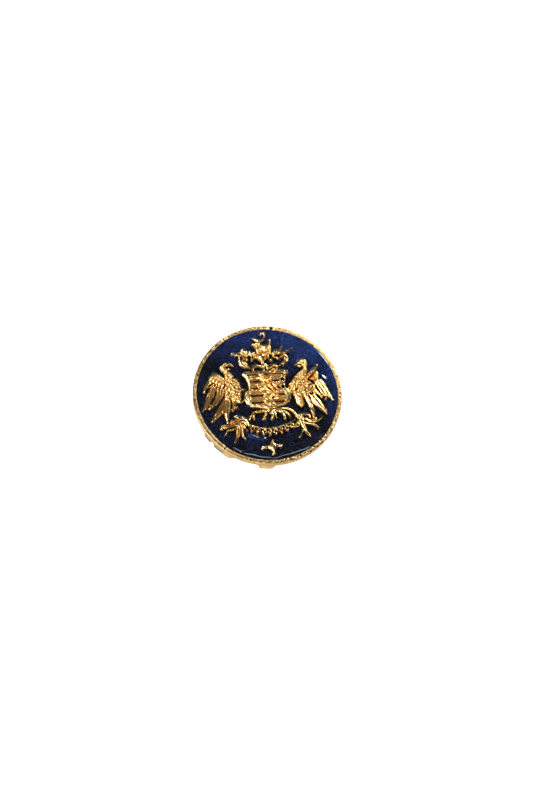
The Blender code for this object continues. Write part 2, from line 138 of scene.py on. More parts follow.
class Relief:
    """A cast device as a field of heights over the emblem plane."""

    def __init__(self, low, high, seed=1):
        self.xs = np.arange(low[0], high[0] + PITCH, PITCH)
        self.ys = np.arange(low[1], high[1] + PITCH, PITCH)
        self.x, self.y = np.meshgrid(self.xs, self.ys)
        self.h = np.full(self.x.shape, ROOT)
        self.seed = seed

    def window(self, points, reach):
        """Slices of the grid that hold the points and some reach round them."""
        x0, y0 = points[:, 0].min() - reach, points[:, 1].min() - reach
        x1, y1 = points[:, 0].max() + reach, points[:, 1].max() + reach
        i0, i1 = np.searchsorted(self.xs, (x0, x1))
        j0, j1 = np.searchsorted(self.ys, (y0, y1))
        return slice(j0, j1), slice(i0, i1)

    def along(self, points, radii):
        """Nearest place on a tapered path: window, distance/radius, side, run, radius."""
        count = len(points)
        radii = np.interp(np.linspace(0, 1, count), np.linspace(0, 1, len(radii)), radii)
        path = smooth_path(np.column_stack([np.array(points, float), radii]))
        win = self.window(path, path[:, 2].max() + PITCH)
        x, y = self.x[win], self.y[win]
        best = np.full(x.shape, 1e9)
        side = np.zeros(x.shape)
        run = np.zeros(x.shape)
        width = np.ones(x.shape)
        lengths = np.hypot(*np.diff(path[:, :2], axis=0).T)
        total = max(lengths.sum(), 1e-6)
        start = 0.0
        for a, b, length in zip(path[:-1], path[1:], lengths):
            dx, dy = b[0] - a[0], b[1] - a[1]
            t = ((x - a[0]) * dx + (y - a[1]) * dy) / max(length ** 2, 1e-9)
            t = np.clip(t, 0, 1)
            away = np.hypot(x - a[0] - t * dx, y - a[1] - t * dy)
            r = np.maximum(a[2] + (b[2] - a[2]) * t, 0.03)
            ratio = away / r
            near = ratio < best
            best = np.where(near, ratio, best)
            width = np.where(near, r, width)
            run = np.where(near, (start + t * length) / total, run)
            cross = dx * (y - a[1]) - dy * (x - a[0])
            side = np.where(near, np.sign(cross) * ratio, side)
            start += length
        return win, best, side, run, width, total

    def stroke(self, points, radii, heights, shape="round", soft=0.07, tilt=0.0, barbs=0.0):
        """Raise a tapered bar. shape is round, ridge or flat."""
        radii = np.atleast_1d(np.array(radii, float)) + SPREAD
        heights = np.atleast_1d(np.array(heights, float))
        win, ratio, side, run, width, total = self.along(points, radii)
        inside = np.clip(1 - ratio ** 2, 0, 1)
        if shape == "ridge":
            form = 0.6 * np.sqrt(inside) + 0.4 * np.clip(1 - ratio, 0, 1)
        elif shape == "flat":
            form = inside ** 0.28
        else:
            form = np.sqrt(inside)
        tall = np.interp(run, np.linspace(0, 1, len(heights)), heights)
        tall = tall + tilt * np.clip(side, -1, 1)
        if barbs:
            tall = tall - barbs * np.cos(side * width * math.tau / BARB_PERIOD)
            wave = np.sin((np.abs(side) * width * 0.8 + run * total) * math.tau / 0.5)
            tall = tall + 0.5 * barbs * wave
        value = ROOT + (tall - ROOT) * form
        value = np.where(ratio < 1, value, ROOT)
        self.h[win] = np.where(
            ratio < 1, smooth_max(self.h[win], value, soft), self.h[win]
        )

    def bar(self, *rows, **form):
        """A stroke from rows of x, y, radius and height."""
        x, y, radii, heights = zip(*rows)
        self.stroke(list(zip(x, y)), radii, heights, **form)

    def feather(self, *rows):
        """A ridged bar with faint barbs."""
        self.bar(*rows, shape="ridge", soft=0.03, barbs=0.03)

    def ball(self, x, y, r, height):
        self.stroke([(x, y), (x + 0.01, y)], r, height)

    def beads(self, places, r, height):
        for x, y in places:
            self.ball(x, y, r, height)

    def groove(self, points, width, depth):
        """Cut a soft line into what stands."""
        win, ratio, *_ = self.along(points, [width * 2.5])
        cut = depth * np.exp(-(ratio * 2.5) ** 2)
        self.h[win] = np.where(self.h[win] > CUT, self.h[win] - cut, self.h[win])

    def distance_in(self, outline):
        """Signed distance to a closed outline, positive inside."""
        pts = np.array(outline, float)
        inside = np.zeros(self.x.shape, bool)
        best = np.full(self.x.shape, 1e9)
        for a, b in zip(pts, np.roll(pts, -1, axis=0)):
            dx, dy = b - a
            t = ((self.x - a[0]) * dx + (self.y - a[1]) * dy) / (dx * dx + dy * dy)
            t = np.clip(t, 0, 1)
            best = np.minimum(best, np.hypot(self.x - a[0] - t * dx, self.y - a[1] - t * dy))
            crosses = (a[1] > self.y) != (b[1] > self.y)
            at = a[0] + (self.y - a[1]) * dx / (dy if dy else 1e-9)
            inside ^= crosses & (self.x < at)
        return np.where(inside, best, -best)

    def plate(self, outline, height, edge=0.2):
        """Raise an outline with a rounded edge; returns the distance inside it."""
        gap = self.distance_in(outline)
        form = np.clip(gap / edge, 0, 1)
        form = np.sqrt(1 - (1 - form) ** 2)
        value = ROOT + (height - ROOT) * form
        self.h = np.where(gap > 0, np.maximum(self.h, value), self.h)
        return gap

    def scales(self, outline, size, height):
        """Beady little scales over the part of the device inside an outline."""
        gap = np.clip(self.distance_in(outline) / 0.15, 0, 1)
        rows = self.y / (size * 0.86)
        best = np.full(self.x.shape, -1.0)
        for down in (-1, 0, 1):
            row = np.floor(rows) + down
            along = self.x / size - 0.5 * (row % 2)
            for over in (0, 1):
                column = np.floor(along) + over
                shift_x = hash_noise(column * 3.17, row * 2.71, self.seed) - 0.5
                shift_y = hash_noise(column * 2.31, row * 3.93, self.seed + 3) - 0.5
                away = np.hypot(
                    (along - column - 0.5 * shift_x) * size,
                    (rows - row - 0.5 * shift_y) * size * 0.86,
                )
                best = np.maximum(best, 1 - (away / (size * 0.56)) ** 2)
        bump = height * np.sqrt(np.clip(best, 0, 1))
        self.h = np.where(self.h > CUT, self.h + (bump - 0.55 * height) * gap, self.h)

    def leafage(self, outline, height, depth):
        """An irregular leafy mass: lumps of several sizes over a raised patch."""
        gap = np.clip(self.distance_in(outline) / 0.5, 0, 1)
        big = hash_noise(self.x / 0.75, self.y / 0.75, self.seed + 9)
        small = hash_noise(self.x / 0.36, self.y / 0.36, self.seed + 10)
        value = height + depth * (0.7 * big + 0.5 * small - 0.6)
        self.h = np.where(gap > 0, self.h * (1 - gap) + value * gap, self.h)

    def hole(self, x, y, rx, ry):
        """Open an ellipse down to the enamel."""
        ratio = np.hypot((self.x - x) / rx, (self.y - y) / ry)
        self.h = np.where(ratio < 1, ROOT, self.h)

    def finish(self):
        """Soften like a worn casting and add its faint surface unevenness."""
        self.h = blur(self.h, 0.65)
        rough = hash_noise(self.x / 0.42, self.y / 0.42, self.seed) - 0.5
        fine = hash_noise(self.x / 0.2, self.y / 0.2, self.seed + 5) - 0.5
        self.h = np.where(self.h > CUT, self.h + 0.035 * rough + 0.02 * fine, self.h)


def closed_sheet(name, x, y, z, bottom, keep, fields):
    """A closed mesh over the grid cells to keep: top at z, flat bottom, walls between them."""
    used = np.zeros(x.shape, bool)
    for dj in (0, 1):
        for di in (0, 1):
            used[dj:x.shape[0] - 1 + dj, di:x.shape[1] - 1 + di] |= keep
    count = int(used.sum())
    index = np.full(x.shape, -1)
    index[used] = np.arange(count)
    top = np.column_stack([x[used], y[used], z[used]])
    low = top.copy()
    low[:, 2] = bottom
    jj, ii = np.nonzero(keep)
    quads = np.column_stack([
        index[jj, ii], index[jj, ii + 1], index[jj + 1, ii + 1], index[jj + 1, ii]
    ])
    walls = []
    padded = np.pad(keep, 1)
    # each side of a cell: the neighbour across it, and its two corners
    sides = (((0, -1), (0, 0), (0, 1)), ((0, 1), (1, 1), (1, 0)),
             ((-1, 0), (1, 0), (0, 0)), ((1, 0), (0, 1), (1, 1)))
    for (dj, di), first, second in sides:
        other = padded[1 + dj:1 + dj + keep.shape[0], 1 + di:1 + di + keep.shape[1]]
        sj, si = np.nonzero(keep & ~other)
        a = index[sj + first[1], si + first[0]]
        b = index[sj + second[1], si + second[0]]
        walls.append(np.column_stack([b, a, a + count, b + count]))
    faces = np.vstack([quads, quads[:, ::-1] + count] + walls)
    doubled = {label: np.tile(values[used], 2) for label, values in fields.items()}
    return mesh_object(name, np.vstack([top, low]), faces, doubled)


def relief_object(name, relief, pegs):
    """A closed mesh of the relief with its pegs, and attributes for the colours."""
    h = relief.h
    fields = {
        "cavity": h - blur(h, 0.3 / PITCH), "deep": h - blur(h, 0.9 / PITCH), "level": h
    }
    keep = np.maximum.reduce([h[:-1, :-1], h[1:, :-1], h[:-1, 1:], h[1:, 1:]]) > CUT
    z = np.maximum(h, CUT) + ENAMEL_TOP
    made = closed_sheet(name, relief.x, relief.y, z, ENAMEL_TOP + ROOT, keep, fields)
    add_pegs(made, pegs)
    return made


PEG_RADIUS = 0.4
PEG_BOTTOM = 2.4


def add_pegs(made, pegs):
    """Mounting pegs from inside the device down through the floor of the dish."""
    shape = bmesh.new()
    shape.from_mesh(made.data)
    bottom = PEG_BOTTOM * MM
    top = (ENAMEL_TOP + ROOT + 0.1) * MM
    for x, y in pegs:
        bmesh.ops.create_cone(
            shape, cap_ends=True, segments=24, radius1=PEG_RADIUS * MM,
            radius2=PEG_RADIUS * MM, depth=top - bottom,
            matrix=Matrix.Translation((x * MM, y * MM, (top + bottom) / 2)),
        )
    shape.to_mesh(made.data)
    shape.free()


def mesh_object(name, verts, faces, attributes):
    """A mesh from millimetre points and faces, with float attributes on its points."""
    mesh = bpy.data.meshes.new(name)
    verts = np.asarray(verts, dtype=np.float32) * MM
    faces = np.asarray(faces, dtype=np.int32)
    sides = faces.shape[1]
    mesh.vertices.add(len(verts))
    mesh.vertices.foreach_set("co", verts.ravel())
    mesh.loops.add(faces.size)
    mesh.loops.foreach_set("vertex_index", faces.ravel())
    mesh.polygons.add(len(faces))
    mesh.polygons.foreach_set("loop_start", np.arange(0, faces.size, sides, dtype=np.int32))
    mesh.update(calc_edges=True)
    mesh.validate()
    for label, values in attributes.items():
        layer = mesh.attributes.new(label, "FLOAT", "POINT")
        layer.data.foreach_set("value", np.asarray(values, dtype=np.float32))
    mesh.shade_smooth()
    made = bpy.data.objects.new(name, mesh)
    bpy.context.collection.objects.link(made)
    return made


# ---------------------------------------------------------------- materials

class Nodes:
    """Short names for building a node tree."""

    def __init__(self, name):
        self.material = bpy.data.materials.new(name)
        self.material.use_nodes = True
        self.tree = self.material.node_tree
        self.shader = self.tree.nodes["Principled BSDF"]

    def give(self, socket, value):
        """Link an output to a socket, or set the socket to a number or a colour."""
        if isinstance(value, bpy.types.NodeSocket):
            self.tree.links.new(value, socket)
        elif isinstance(value, tuple):
            socket.default_value = (*value, 1.0)
        else:
            socket.default_value = value

    def add(self, kind, inputs=None, **settings):
        node = self.tree.nodes.new(kind)
        for key, value in settings.items():
            setattr(node, key, value)
        for key, value in (inputs or {}).items():
            self.give(node.inputs[key], value)
        return node

    def set(self, **values):
        """Give inputs of the shader, with _ for the spaces in their names."""
        for key, value in values.items():
            self.give(self.shader.inputs[key.replace("_", " ")], value)

    def attribute(self, name):
        return self.add("ShaderNodeAttribute", attribute_name=name).outputs["Fac"]

    def position(self):
        return self.add("ShaderNodeTexCoord").outputs["Object"]

    def noise(self, scale, detail, rough=0.6):
        inputs = {"Vector": self.position(), "Scale": scale, "Detail": detail, "Roughness": rough}
        return self.add("ShaderNodeTexNoise", inputs).outputs["Fac"]

    def ramp(self, value, stops):
        node = self.add("ShaderNodeValToRGB", {"Fac": value})
        elements = node.color_ramp.elements
        while len(elements) < len(stops):
            elements.new(0.5)
        for element, (place, colour) in zip(elements, stops):
            element.position = place
            element.color = (*colour, 1.0)
        return node.outputs["Color"]

    def remap(self, value, low, high, to_low=0.0, to_high=1.0):
        inputs = {"Value": value, "From Min": low, "From Max": high, "To Min": to_low,
                  "To Max": to_high}
        return self.add("ShaderNodeMapRange", inputs).outputs["Result"]

    def math(self, operation, a, b):
        return self.add("ShaderNodeMath", {0: a, 1: b}, operation=operation).outputs[0]

    def mix(self, factor, a, b):
        return self.add("ShaderNodeMix", {0: factor, 6: a, 7: b}, data_type="RGBA").outputs[2]

    def bump(self, height, strength, distance):
        inputs = {"Strength": strength, "Distance": distance, "Height": height}
        return self.add("ShaderNodeBump", inputs).outputs["Normal"]


PALE_GOLD = (0.98, 0.72, 0.31)
MID_GOLD = (0.86, 0.49, 0.12)
DEEP_GOLD = (0.74, 0.22, 0.015)
# darkest stop of the gilt: painted shade deep in the recesses
RECESS_SHADE_DARK = (0.10, 0.028, 0.004)
# heights in mm over which the hinge's painted shade fades out
HINGE_SHADE_HEIGHTS = (1.35, 1.55)


def device_gold():
    """Gilt relief: pale polished tops; painted shade and a painted orange inter-reflection in the
    recesses, and painted shade at the foot.
    """
    n = Nodes("gilt_device")
    # painted shade and painted orange inter-reflection: darker and more orange where the relief dips
    # below its surroundings
    fine = n.math("MULTIPLY", n.remap(n.attribute("cavity"), -0.10, 0.08), 0.55)
    wide = n.math("MULTIPLY", n.remap(n.attribute("deep"), -0.32, 0.25), 0.45)
    grain = n.noise(9000, 3)
    tone = n.math("ADD", n.math("ADD", fine, wide), n.remap(grain, 0.3, 0.7, -0.07, 0.07))
    # painted shade at the foot: darker low down, near the enamel
    tone = n.math("ADD", tone, n.remap(n.attribute("level"), 0.05, 0.42, -0.32, 0.0))
    colour = n.ramp(tone, [
        (0.06, RECESS_SHADE_DARK), (0.30, DEEP_GOLD), (0.52, MID_GOLD), (0.8, PALE_GOLD)
    ])
    rough = n.remap(tone, 0.2, 0.8, 0.46, 0.27)
    n.set(Metallic=1.0, Base_Color=colour, Roughness=rough, Normal=n.bump(grain, 0.35, 0.00004))
    return n.material


def rim_gold():
    """Gilt rim and wall: brownish milled top, paler rubbed edges, and painted shade that darkens the wall
    to dull brown.
    """
    n = Nodes("gilt_rim")
    blotch = n.noise(1100, 4)
    worn = n.remap(n.attribute("cavity"), -0.035, 0.03)
    tone = n.math("ADD", worn, n.remap(blotch, 0.3, 0.7, -0.14, 0.14))
    colour = n.ramp(tone, [
        (0.1, (0.14, 0.05, 0.01)), (0.42, (0.46, 0.26, 0.075)), (0.85, (0.95, 0.70, 0.34))
    ])
    # painted shade on the wall: its colour pulled down to dull brown
    colour = n.mix(n.math("MULTIPLY", n.attribute("wall"), 0.8), colour, (0.31, 0.18, 0.052))
    rough = n.remap(blotch, 0.3, 0.7, 0.36, 0.5)
    bump = n.bump(n.noise(6500, 4), 0.5, 0.00006)
    n.set(Metallic=1.0, Base_Color=colour, Roughness=rough, Normal=bump)
    return n.material


def blue_enamel():
    """Clear glossy coat over tinted metal with a granular, hammered ground, darkened in places by painted
    shade.
    """
    n = Nodes("blue_enamel")
    grain = n.add("ShaderNodeTexVoronoi", {"Scale": 2300, "Vector": n.position()})
    colour = n.ramp(n.noise(420, 3), [
        (0.3, (0.006, 0.012, 0.055)), (0.7, (0.012, 0.038, 0.165))
    ])
    # painted shade and painted light: near-black where the attribute is high, round the devices and
    # towards the lower left; lighter blue on the drops and towards the upper right
    colour = n.mix(n.attribute("thick"), colour, (0.003, 0.004, 0.009))
    height = n.math("ADD", grain.outputs["Distance"], n.noise(3800, 2))
    n.set(Metallic=0.9, Base_Color=colour, Roughness=0.3, Normal=n.bump(height, 0.8, 0.00022))
    n.set(Coat_Weight=1.0, Coat_Roughness=0.03, Coat_IOR=1.5)
    n.set(Coat_Normal=n.bump(n.noise(260, 2, 0.5), 0.12, 0.0002))
    return n.material


def fitting_gold(name, paints_low_shade):
    """Plain satin gilt of the back; on the hinge, painted shade turns it black low down."""
    n = Nodes(name)
    colour = n.ramp(n.noise(500, 4), [(0.3, (0.30, 0.17, 0.042)), (0.7, (0.54, 0.36, 0.11))])
    if paints_low_shade:
        # painted shade: black below a set height on the hinge
        split = n.add("ShaderNodeSeparateXYZ", {0: n.position()})
        low = n.remap(split.outputs[2], HINGE_SHADE_HEIGHTS[0] * MM, HINGE_SHADE_HEIGHTS[1] * MM, 1.0, 0.0)
        colour = n.mix(n.math("MULTIPLY", low, 0.95), colour, (0.02, 0.012, 0.006))
    rough = n.remap(n.noise(2500, 3), 0.3, 0.7, 0.25, 0.45)
    bump = n.bump(n.noise(8000, 3), 0.3, 0.00003)
    n.set(Metallic=1.0, Base_Color=colour, Roughness=rough, Normal=bump)
    return n.material


def pin_steel():
    """Drawn wire, faintly mottled."""
    n = Nodes("pin_steel")
    colour = n.ramp(n.noise(900, 3), [(0.3, (0.50, 0.49, 0.47)), (0.7, (0.68, 0.67, 0.65))])
    bump = n.bump(n.noise(7000, 2), 0.2, 0.00002)
    n.set(Metallic=1.0, Base_Color=colour, Roughness=0.24, Normal=bump)
    return n.material


def paper():
    """Near-white studio sheet."""
    n = Nodes("studio_sheet")
    n.set(Roughness=0.9, Base_Color=(0.93, 0.93, 0.93))
    n.set(Emission_Strength=0.8, Emission_Color=(1.0, 1.0, 1.0))
    return n.material


# ---------------------------------------------------------------- devices

BODY = "badge"
DEVICES = {}


# Each function below models one device on its relief, s. Bars and feathers are rows of x, y,
# radius and height; strokes are points with radii and heights; a ball is x, y, radius, height.

def device(low, high, seed, pegs):
    """Keep a modelling function with the window and seed of its relief and its pegs."""
    def keep(build):
        DEVICES[build.__name__] = (build, low, high, seed, pegs)
        return build
    return keep


@device((-16.6, -7.6), (-4.9, 9.1), 11, pegs=[(-8.2, 2.6), (-12.6, 3.8)])
def eagle_left(s):
    # long wing feathers on a low plate
    s.plate([(-13.2, 2.9), (-10.2, 1.6), (-10.6, .2), (-12.9, -.6), (-13.9, .4)], .3, .3)
    s.feather((-12.9, 2.7, .5, .5), (-13.9, .8, .6, .55), (-14.9, -1.6, .5, .5), (-15.85, -3.5, .14, .3))
    s.feather((-12.3, 2.6, .45, .55), (-13.2, .7, .5, .6), (-14.2, -1.4, .42, .5), (-15.1, -3, .14, .35))
    s.feather((-11.7, 2.3, .5, .45), (-12.2, .3, .52, .5), (-13.2, -1.3, .45, .5), (-14.35, -3, .2, .45))
    s.feather((-11.1, 2, .5, .55), (-11.5, .4, .55, .6), (-12.4, -1.2, .45, .5), (-13.4, -2.5, .2, .4))
    s.feather((-10.5, 1.7, .5, .6), (-10.9, .3, .5, .6), (-11.6, -.8, .4, .5), (-12.5, -1.9, .2, .35))
    s.feather((-10.4, -.8, .5, .7), (-11.5, -2.8, .6, .65), (-12.8, -4.8, .5, .55), (-14, -6.3, .24, .5))
    s.feather((-9.9, -1, .5, .75), (-10.8, -2.9, .55, .65), (-11.8, -4.4, .45, .5), (-12.9, -5.7, .2, .4))
    s.feather((-9.4, -1.2, .5, .8), (-10.2, -2.8, .55, .7), (-10.9, -3.9, .45, .6),
        (-11.5, -4.4, .25, .45))
    s.groove([(-12.3, 1.2), (-12.7, 0), (-13.3, -1.2), (-13.8, -2)], .16, .42)
    s.stroke([(-14.45, -2.95), (-14.1, -3), (-13.7, -2.85)], [.18, .24, .18], .55)
    s.stroke([(-13.95, -6.35), (-13.5, -6.05), (-13.1, -5.75)], [.26, .32, .22], .62)
    s.ball(-11.4, -4.15, .27, .55)
    # shoulder, alula and its ball tip
    s.bar((-9.7, 3.6, .65, .8), (-10.9, 4.6, .65, .85), (-12.2, 5.5, .6, .85), (-13.1, 5.3, .5, .8),
        (-13.6, 4.4, .4, .7))
    s.bar((-13.7, 4, .55, .7), (-14.4, 3.2, .42, .6), (-14.9, 2.3, .32, .55), (-15.1, 1.7, .25, .5))
    s.stroke([(-14.7, 2.35), (-14, 2.65), (-13.2, 2.85)], [.14, .18, .2], .5)
    s.ball(-15.12, 1.5, .36, .78)
    s.bar((-13.55, 3.9, .35, .85), (-13.2, 4.75, .4, .95), (-12.6, 4.9, .35, .9))
    s.plate([(-13.6, 5.1), (-12.3, 5.3), (-9.9, 3.6), (-10.3, 2), (-11.6, 2.9), (-13.6, 3.9)], .72, .3)
    for x, y in ((-13.35, 4.5), (-12.7, 4.1), (-12, 3.6), (-11.3, 3.1), (-10.65, 2.5)):
        s.stroke([(x + .12, y + .18), (x - .14, y - .2)], .31, [1.3, .95], "flat", .03, .08)
    s.beads([(-13.35, 3.5), (-12.75, 3.2), (-12.1, 2.8), (-11.5, 2.35), (-10.9, 1.8)], .27, .8)
    s.beads([(-13.2, 2.6), (-12.45, 2.4), (-11.8, 1.95), (-11.2, 1.4), (-10.6, 1)], .26, .78)
    # body and neck
    s.bar((-9.2, 4.4, 1.05, .75), (-8.7, 3, 1.75, .95), (-8.3, 1.2, 1.9, 1), (-8.1, -.6, 1.4, .8),
        soft=.15)
    s.bar((-9.7, 1.6, .8, .75), (-9.6, .4, .8, .85), (-9.7, -.8, .7, .8), soft=.15)
    s.bar((-7.6, 4.1, .5, .65), (-7.1, 2.8, .7, .85), (-6.9, .9, .7, .8), (-7, -.9, .6, .65), soft=.12)
    s.bar((-8.6, 4.9, .95, .85), (-9.3, 5.8, .75, .85), (-10, 6.7, .65, .85), (-10.2, 7.3, .65, .85),
        soft=.12)
    # head, open beak
    s.bar((-10.3, 7.5, .62, .9), (-9.6, 8, .5, .95), (-8.9, 8.05, .4, .85))
    s.scales([(-8.9, 8.8), (-11.2, 8.6), (-11.1, 5.6), (-9.9, 4.2), (-10.4, 1.8), (-10.4, -.9),
        (-8.6, -1.7), (-6.4, -1.2), (-6, 1.6), (-6.3, 3.4), (-7.5, 4.8), (-8.7, 6.5), (-8.9, 7.6)], .54,
        .72)
    s.bar((-8.9, 8.1, .3, .75), (-8.2, 8.15, .27, .65), (-7.6, 7.8, .12, .4))
    s.bar((-9.7, 7, .36, .75), (-9, 6.95, .3, .65), (-8.4, 7.2, .14, .4))
    s.groove([(-9.8, 7.45), (-9, 7.55)], .1, .3)
    s.ball(-9.45, 7.85, .17, 1.05)
    # legs and claws
    s.bar((-9.5, -1.6, .75, .85), (-9.8, -3.4, .7, .8), (-10.15, -5, .5, .8), (-10.2, -6.9, .28, .6))
    s.bar((-10.65, -4.5, .3, .8), (-10.5, -5.2, .34, .85), (-10.3, -6.3, .2, .65))
    s.bar((-8.2, -.8, .85, .8), (-8.3, -2.2, .7, .7), (-8.8, -3.5, .3, .45))
    s.groove([(-8.9, -1.2), (-8.8, -2.4), (-9, -3.3)], .13, .3)
    s.bar((-7.5, -2.95, .22, .6), (-8.1, -3.4, .27, .65), (-8.8, -3.95, .2, .5))
    s.bar((-7.3, -1.4, .45, .65), (-6.6, -1.75, .3, .5), (-5.9, -1.4, .24, .5), (-5.3, -1.2, .3, .65))
    s.bar((-6.5, 1.8, .32, .6), (-5.9, 1.5, .22, .45), (-5.4, 1.6, .18, .4))


@device((4.7, -7.4), (16.6, 9.1), 23, pegs=[(8, 2.4), (12.8, 1.4)])
def eagle_right(s):
    s.plate([(10.2, 3.3), (11.3, 4.6), (12.4, 5.8), (12.95, 4.6), (12.9, 3), (11.9, 2.6)], .26, .2)
    s.beads([(11.6, 4.1), (12.1, 3.7), (12.3, 4.5), (11.9, 3.2), (12.6, 3.5)], .2, .45)
    s.feather((13, 2.7, .42, .85), (13.8, 1.5, .55, .85), (14.7, -.3, .5, .8), (15.75, -2.7, .18, .55))
    s.feather((12.35, 2.7, .4, .8), (13.2, 1.1, .5, .8), (14.2, -.7, .45, .75), (15.1, -2.1, .2, .5))
    s.feather((11.85, 2.5, .4, .8), (12.6, .9, .45, .75), (13.4, -.7, .4, .65), (14.2, -1.5, .2, .5))
    s.feather((11.2, 1.6, .45, .7), (11.7, .3, .5, .65), (12.4, -.7, .45, .6), (13, -1.5, .25, .5))
    s.feather((10.5, 1.6, .45, .7), (10.8, .8, .5, .65), (11.2, -.1, .45, .6), (11.8, -.9, .3, .5))
    s.feather((11.1, -.9, .5, .75), (12.1, -2.3, .5, .75), (13, -3.9, .4, .7), (13.8, -5.2, .25, .5))
    s.feather((10.4, -1.2, .55, .9), (11.5, -2.9, .62, .9), (12.7, -4.6, .5, .8), (13.9, -5.9, .25, .65))
    s.feather((10.5, -2, .5, .75), (11.1, -3.2, .5, .7), (11.9, -3.9, .26, .55))
    s.ball(13, -1.7, .38, 1)
    s.ball(13.95, -2.2, .34, .95)
    s.groove([(12, 2.6), (12.7, 1), (13.6, -.8)], .08, .22)
    s.groove([(12.8, 2.6), (13.5, 1.2), (14.5, -.8)], .08, .22)
    s.groove([(10.8, -1), (11.9, -2.9), (13.1, -4.6)], .08, .22)
    for x, y, r, h in ((10.5, 2.1, .5, .98), (10.5, 1.3, .36, .8), (11.5, 1.5, .42, .9),
        (11.4, .7, .36, .8), (12, 2.3, .3, .9), (10.9, .4, .34, .78)):
        s.ball(x, y, r, h)
    # raised edge of the wing
    s.bar((9.8, 3.9, .36, .6), (10.6, 4.6, .3, .55), (11.6, 5.5, .26, .5), (12.5, 6.2, .2, .5))
    s.bar((9, 2.5, .2, 1.1), (10.2, 3.6, .22, 1.1), (11.4, 4.8, .22, 1.05), (12.4, 5.8, .22, 1),
        (12.75, 6.35, .22, .95), (12.6, 6.8, .22, .95))
    # body and neck
    s.bar((8.8, 4.4, 1.2, .9), (8.2, 2.8, 1.9, 1), (8, 1.2, 2, 1.05), (8.3, -.4, 1.6, .9), soft=.15)
    s.bar((9.7, 2.4, .9, .85), (9.8, .9, 1, .85), (9.9, -.6, .8, .8), soft=.15)
    s.bar((6.6, 2.5, .75, .75), (6.3, 1.2, .85, .9), (6.8, -.4, .75, .8), soft=.15)
    s.bar((6.4, 2.7, .36, .6), (5.9, 2.5, .27, .6), (5.5, 2.1, .16, .45))
    s.stroke([(5.9, 1.5), (5.5, 1.2), (5.9, .3)], [.4, .4, .4], .4)
    s.bar((9.9, 7, .6, .85), (9.75, 6, .62, .85), (9.3, 5.1, .9, .9), (8.8, 4.2, 1.3, .95), soft=.12)
    # head
    s.bar((10.1, 7.3, .5, .88), (9.7, 7.9, .5, .95), (9, 8.1, .45, .92), (8.4, 7.9, .36, .8))
    s.scales([(8.7, 8.9), (11, 8.6), (10.9, 6.6), (10.4, 4.6), (10.9, 2.6), (10.9, -.9), (9.4, -1.4),
        (7.4, -1), (5.8, -.6), (5.6, 2.2), (6.8, 4.2), (8.2, 5.2), (8.8, 6.6)], .54, .72)
    s.bar((9.2, 7.5, .5, .85), (8.5, 7.65, .38, .8), (8, 7.6, .3, .65), (7.5, 7.25, .14, .4))
    s.bar((9.2, 6.95, .3, .7), (8.6, 6.85, .27, .6), (8.1, 6.95, .15, .4))
    s.groove([(8.9, 7.25), (8.1, 7.25)], .1, .3)
    s.ball(9, 7.85, .17, 1.05)
    # thigh, legs
    s.bar((7.6, -.7, .9, .75), (7.8, -1.8, .8, .65), (8.2, -3, .5, .5))
    s.bar((6.7, -1.3, .4, .8), (7.1, -2.1, .52, .85), (7.5, -2.9, .55, .8), (8, -3.55, .4, .7),
        shape="flat", soft=.03, tilt=.32)
    s.bar((9.1, -1.2, .6, .85), (9.8, -2.6, .65, .8), (10.35, -4.2, .6, .8), (10.5, -5.4, .48, .75),
        (10.6, -6.7, .42, .6))
    s.bar((8.75, -.5, .25, .95), (9, -1.2, .3, 1), (9.15, -1.8, .2, .9))
    s.bar((10.15, -4.3, .22, .88), (10.1, -4.9, .27, .92), (10.25, -5.6, .2, .8))
    s.groove([(10.1, -3), (10.5, -3.6)], .12, .25)


SHIELD_HALF = [
    (0.0, 6.1), (3.0, 6.05), (5.6, 5.85), (5.15, 4.8), (4.75, 3.6), (4.55, 2.4),
    (4.6, 1.1), (5.3, 0.7), (5.75, -0.3), (5.65, -1.4), (5.2, -2.4), (4.4, -3.1),
    (2.6, -3.5), (1.0, -3.85), (0.0, -4.2),
]


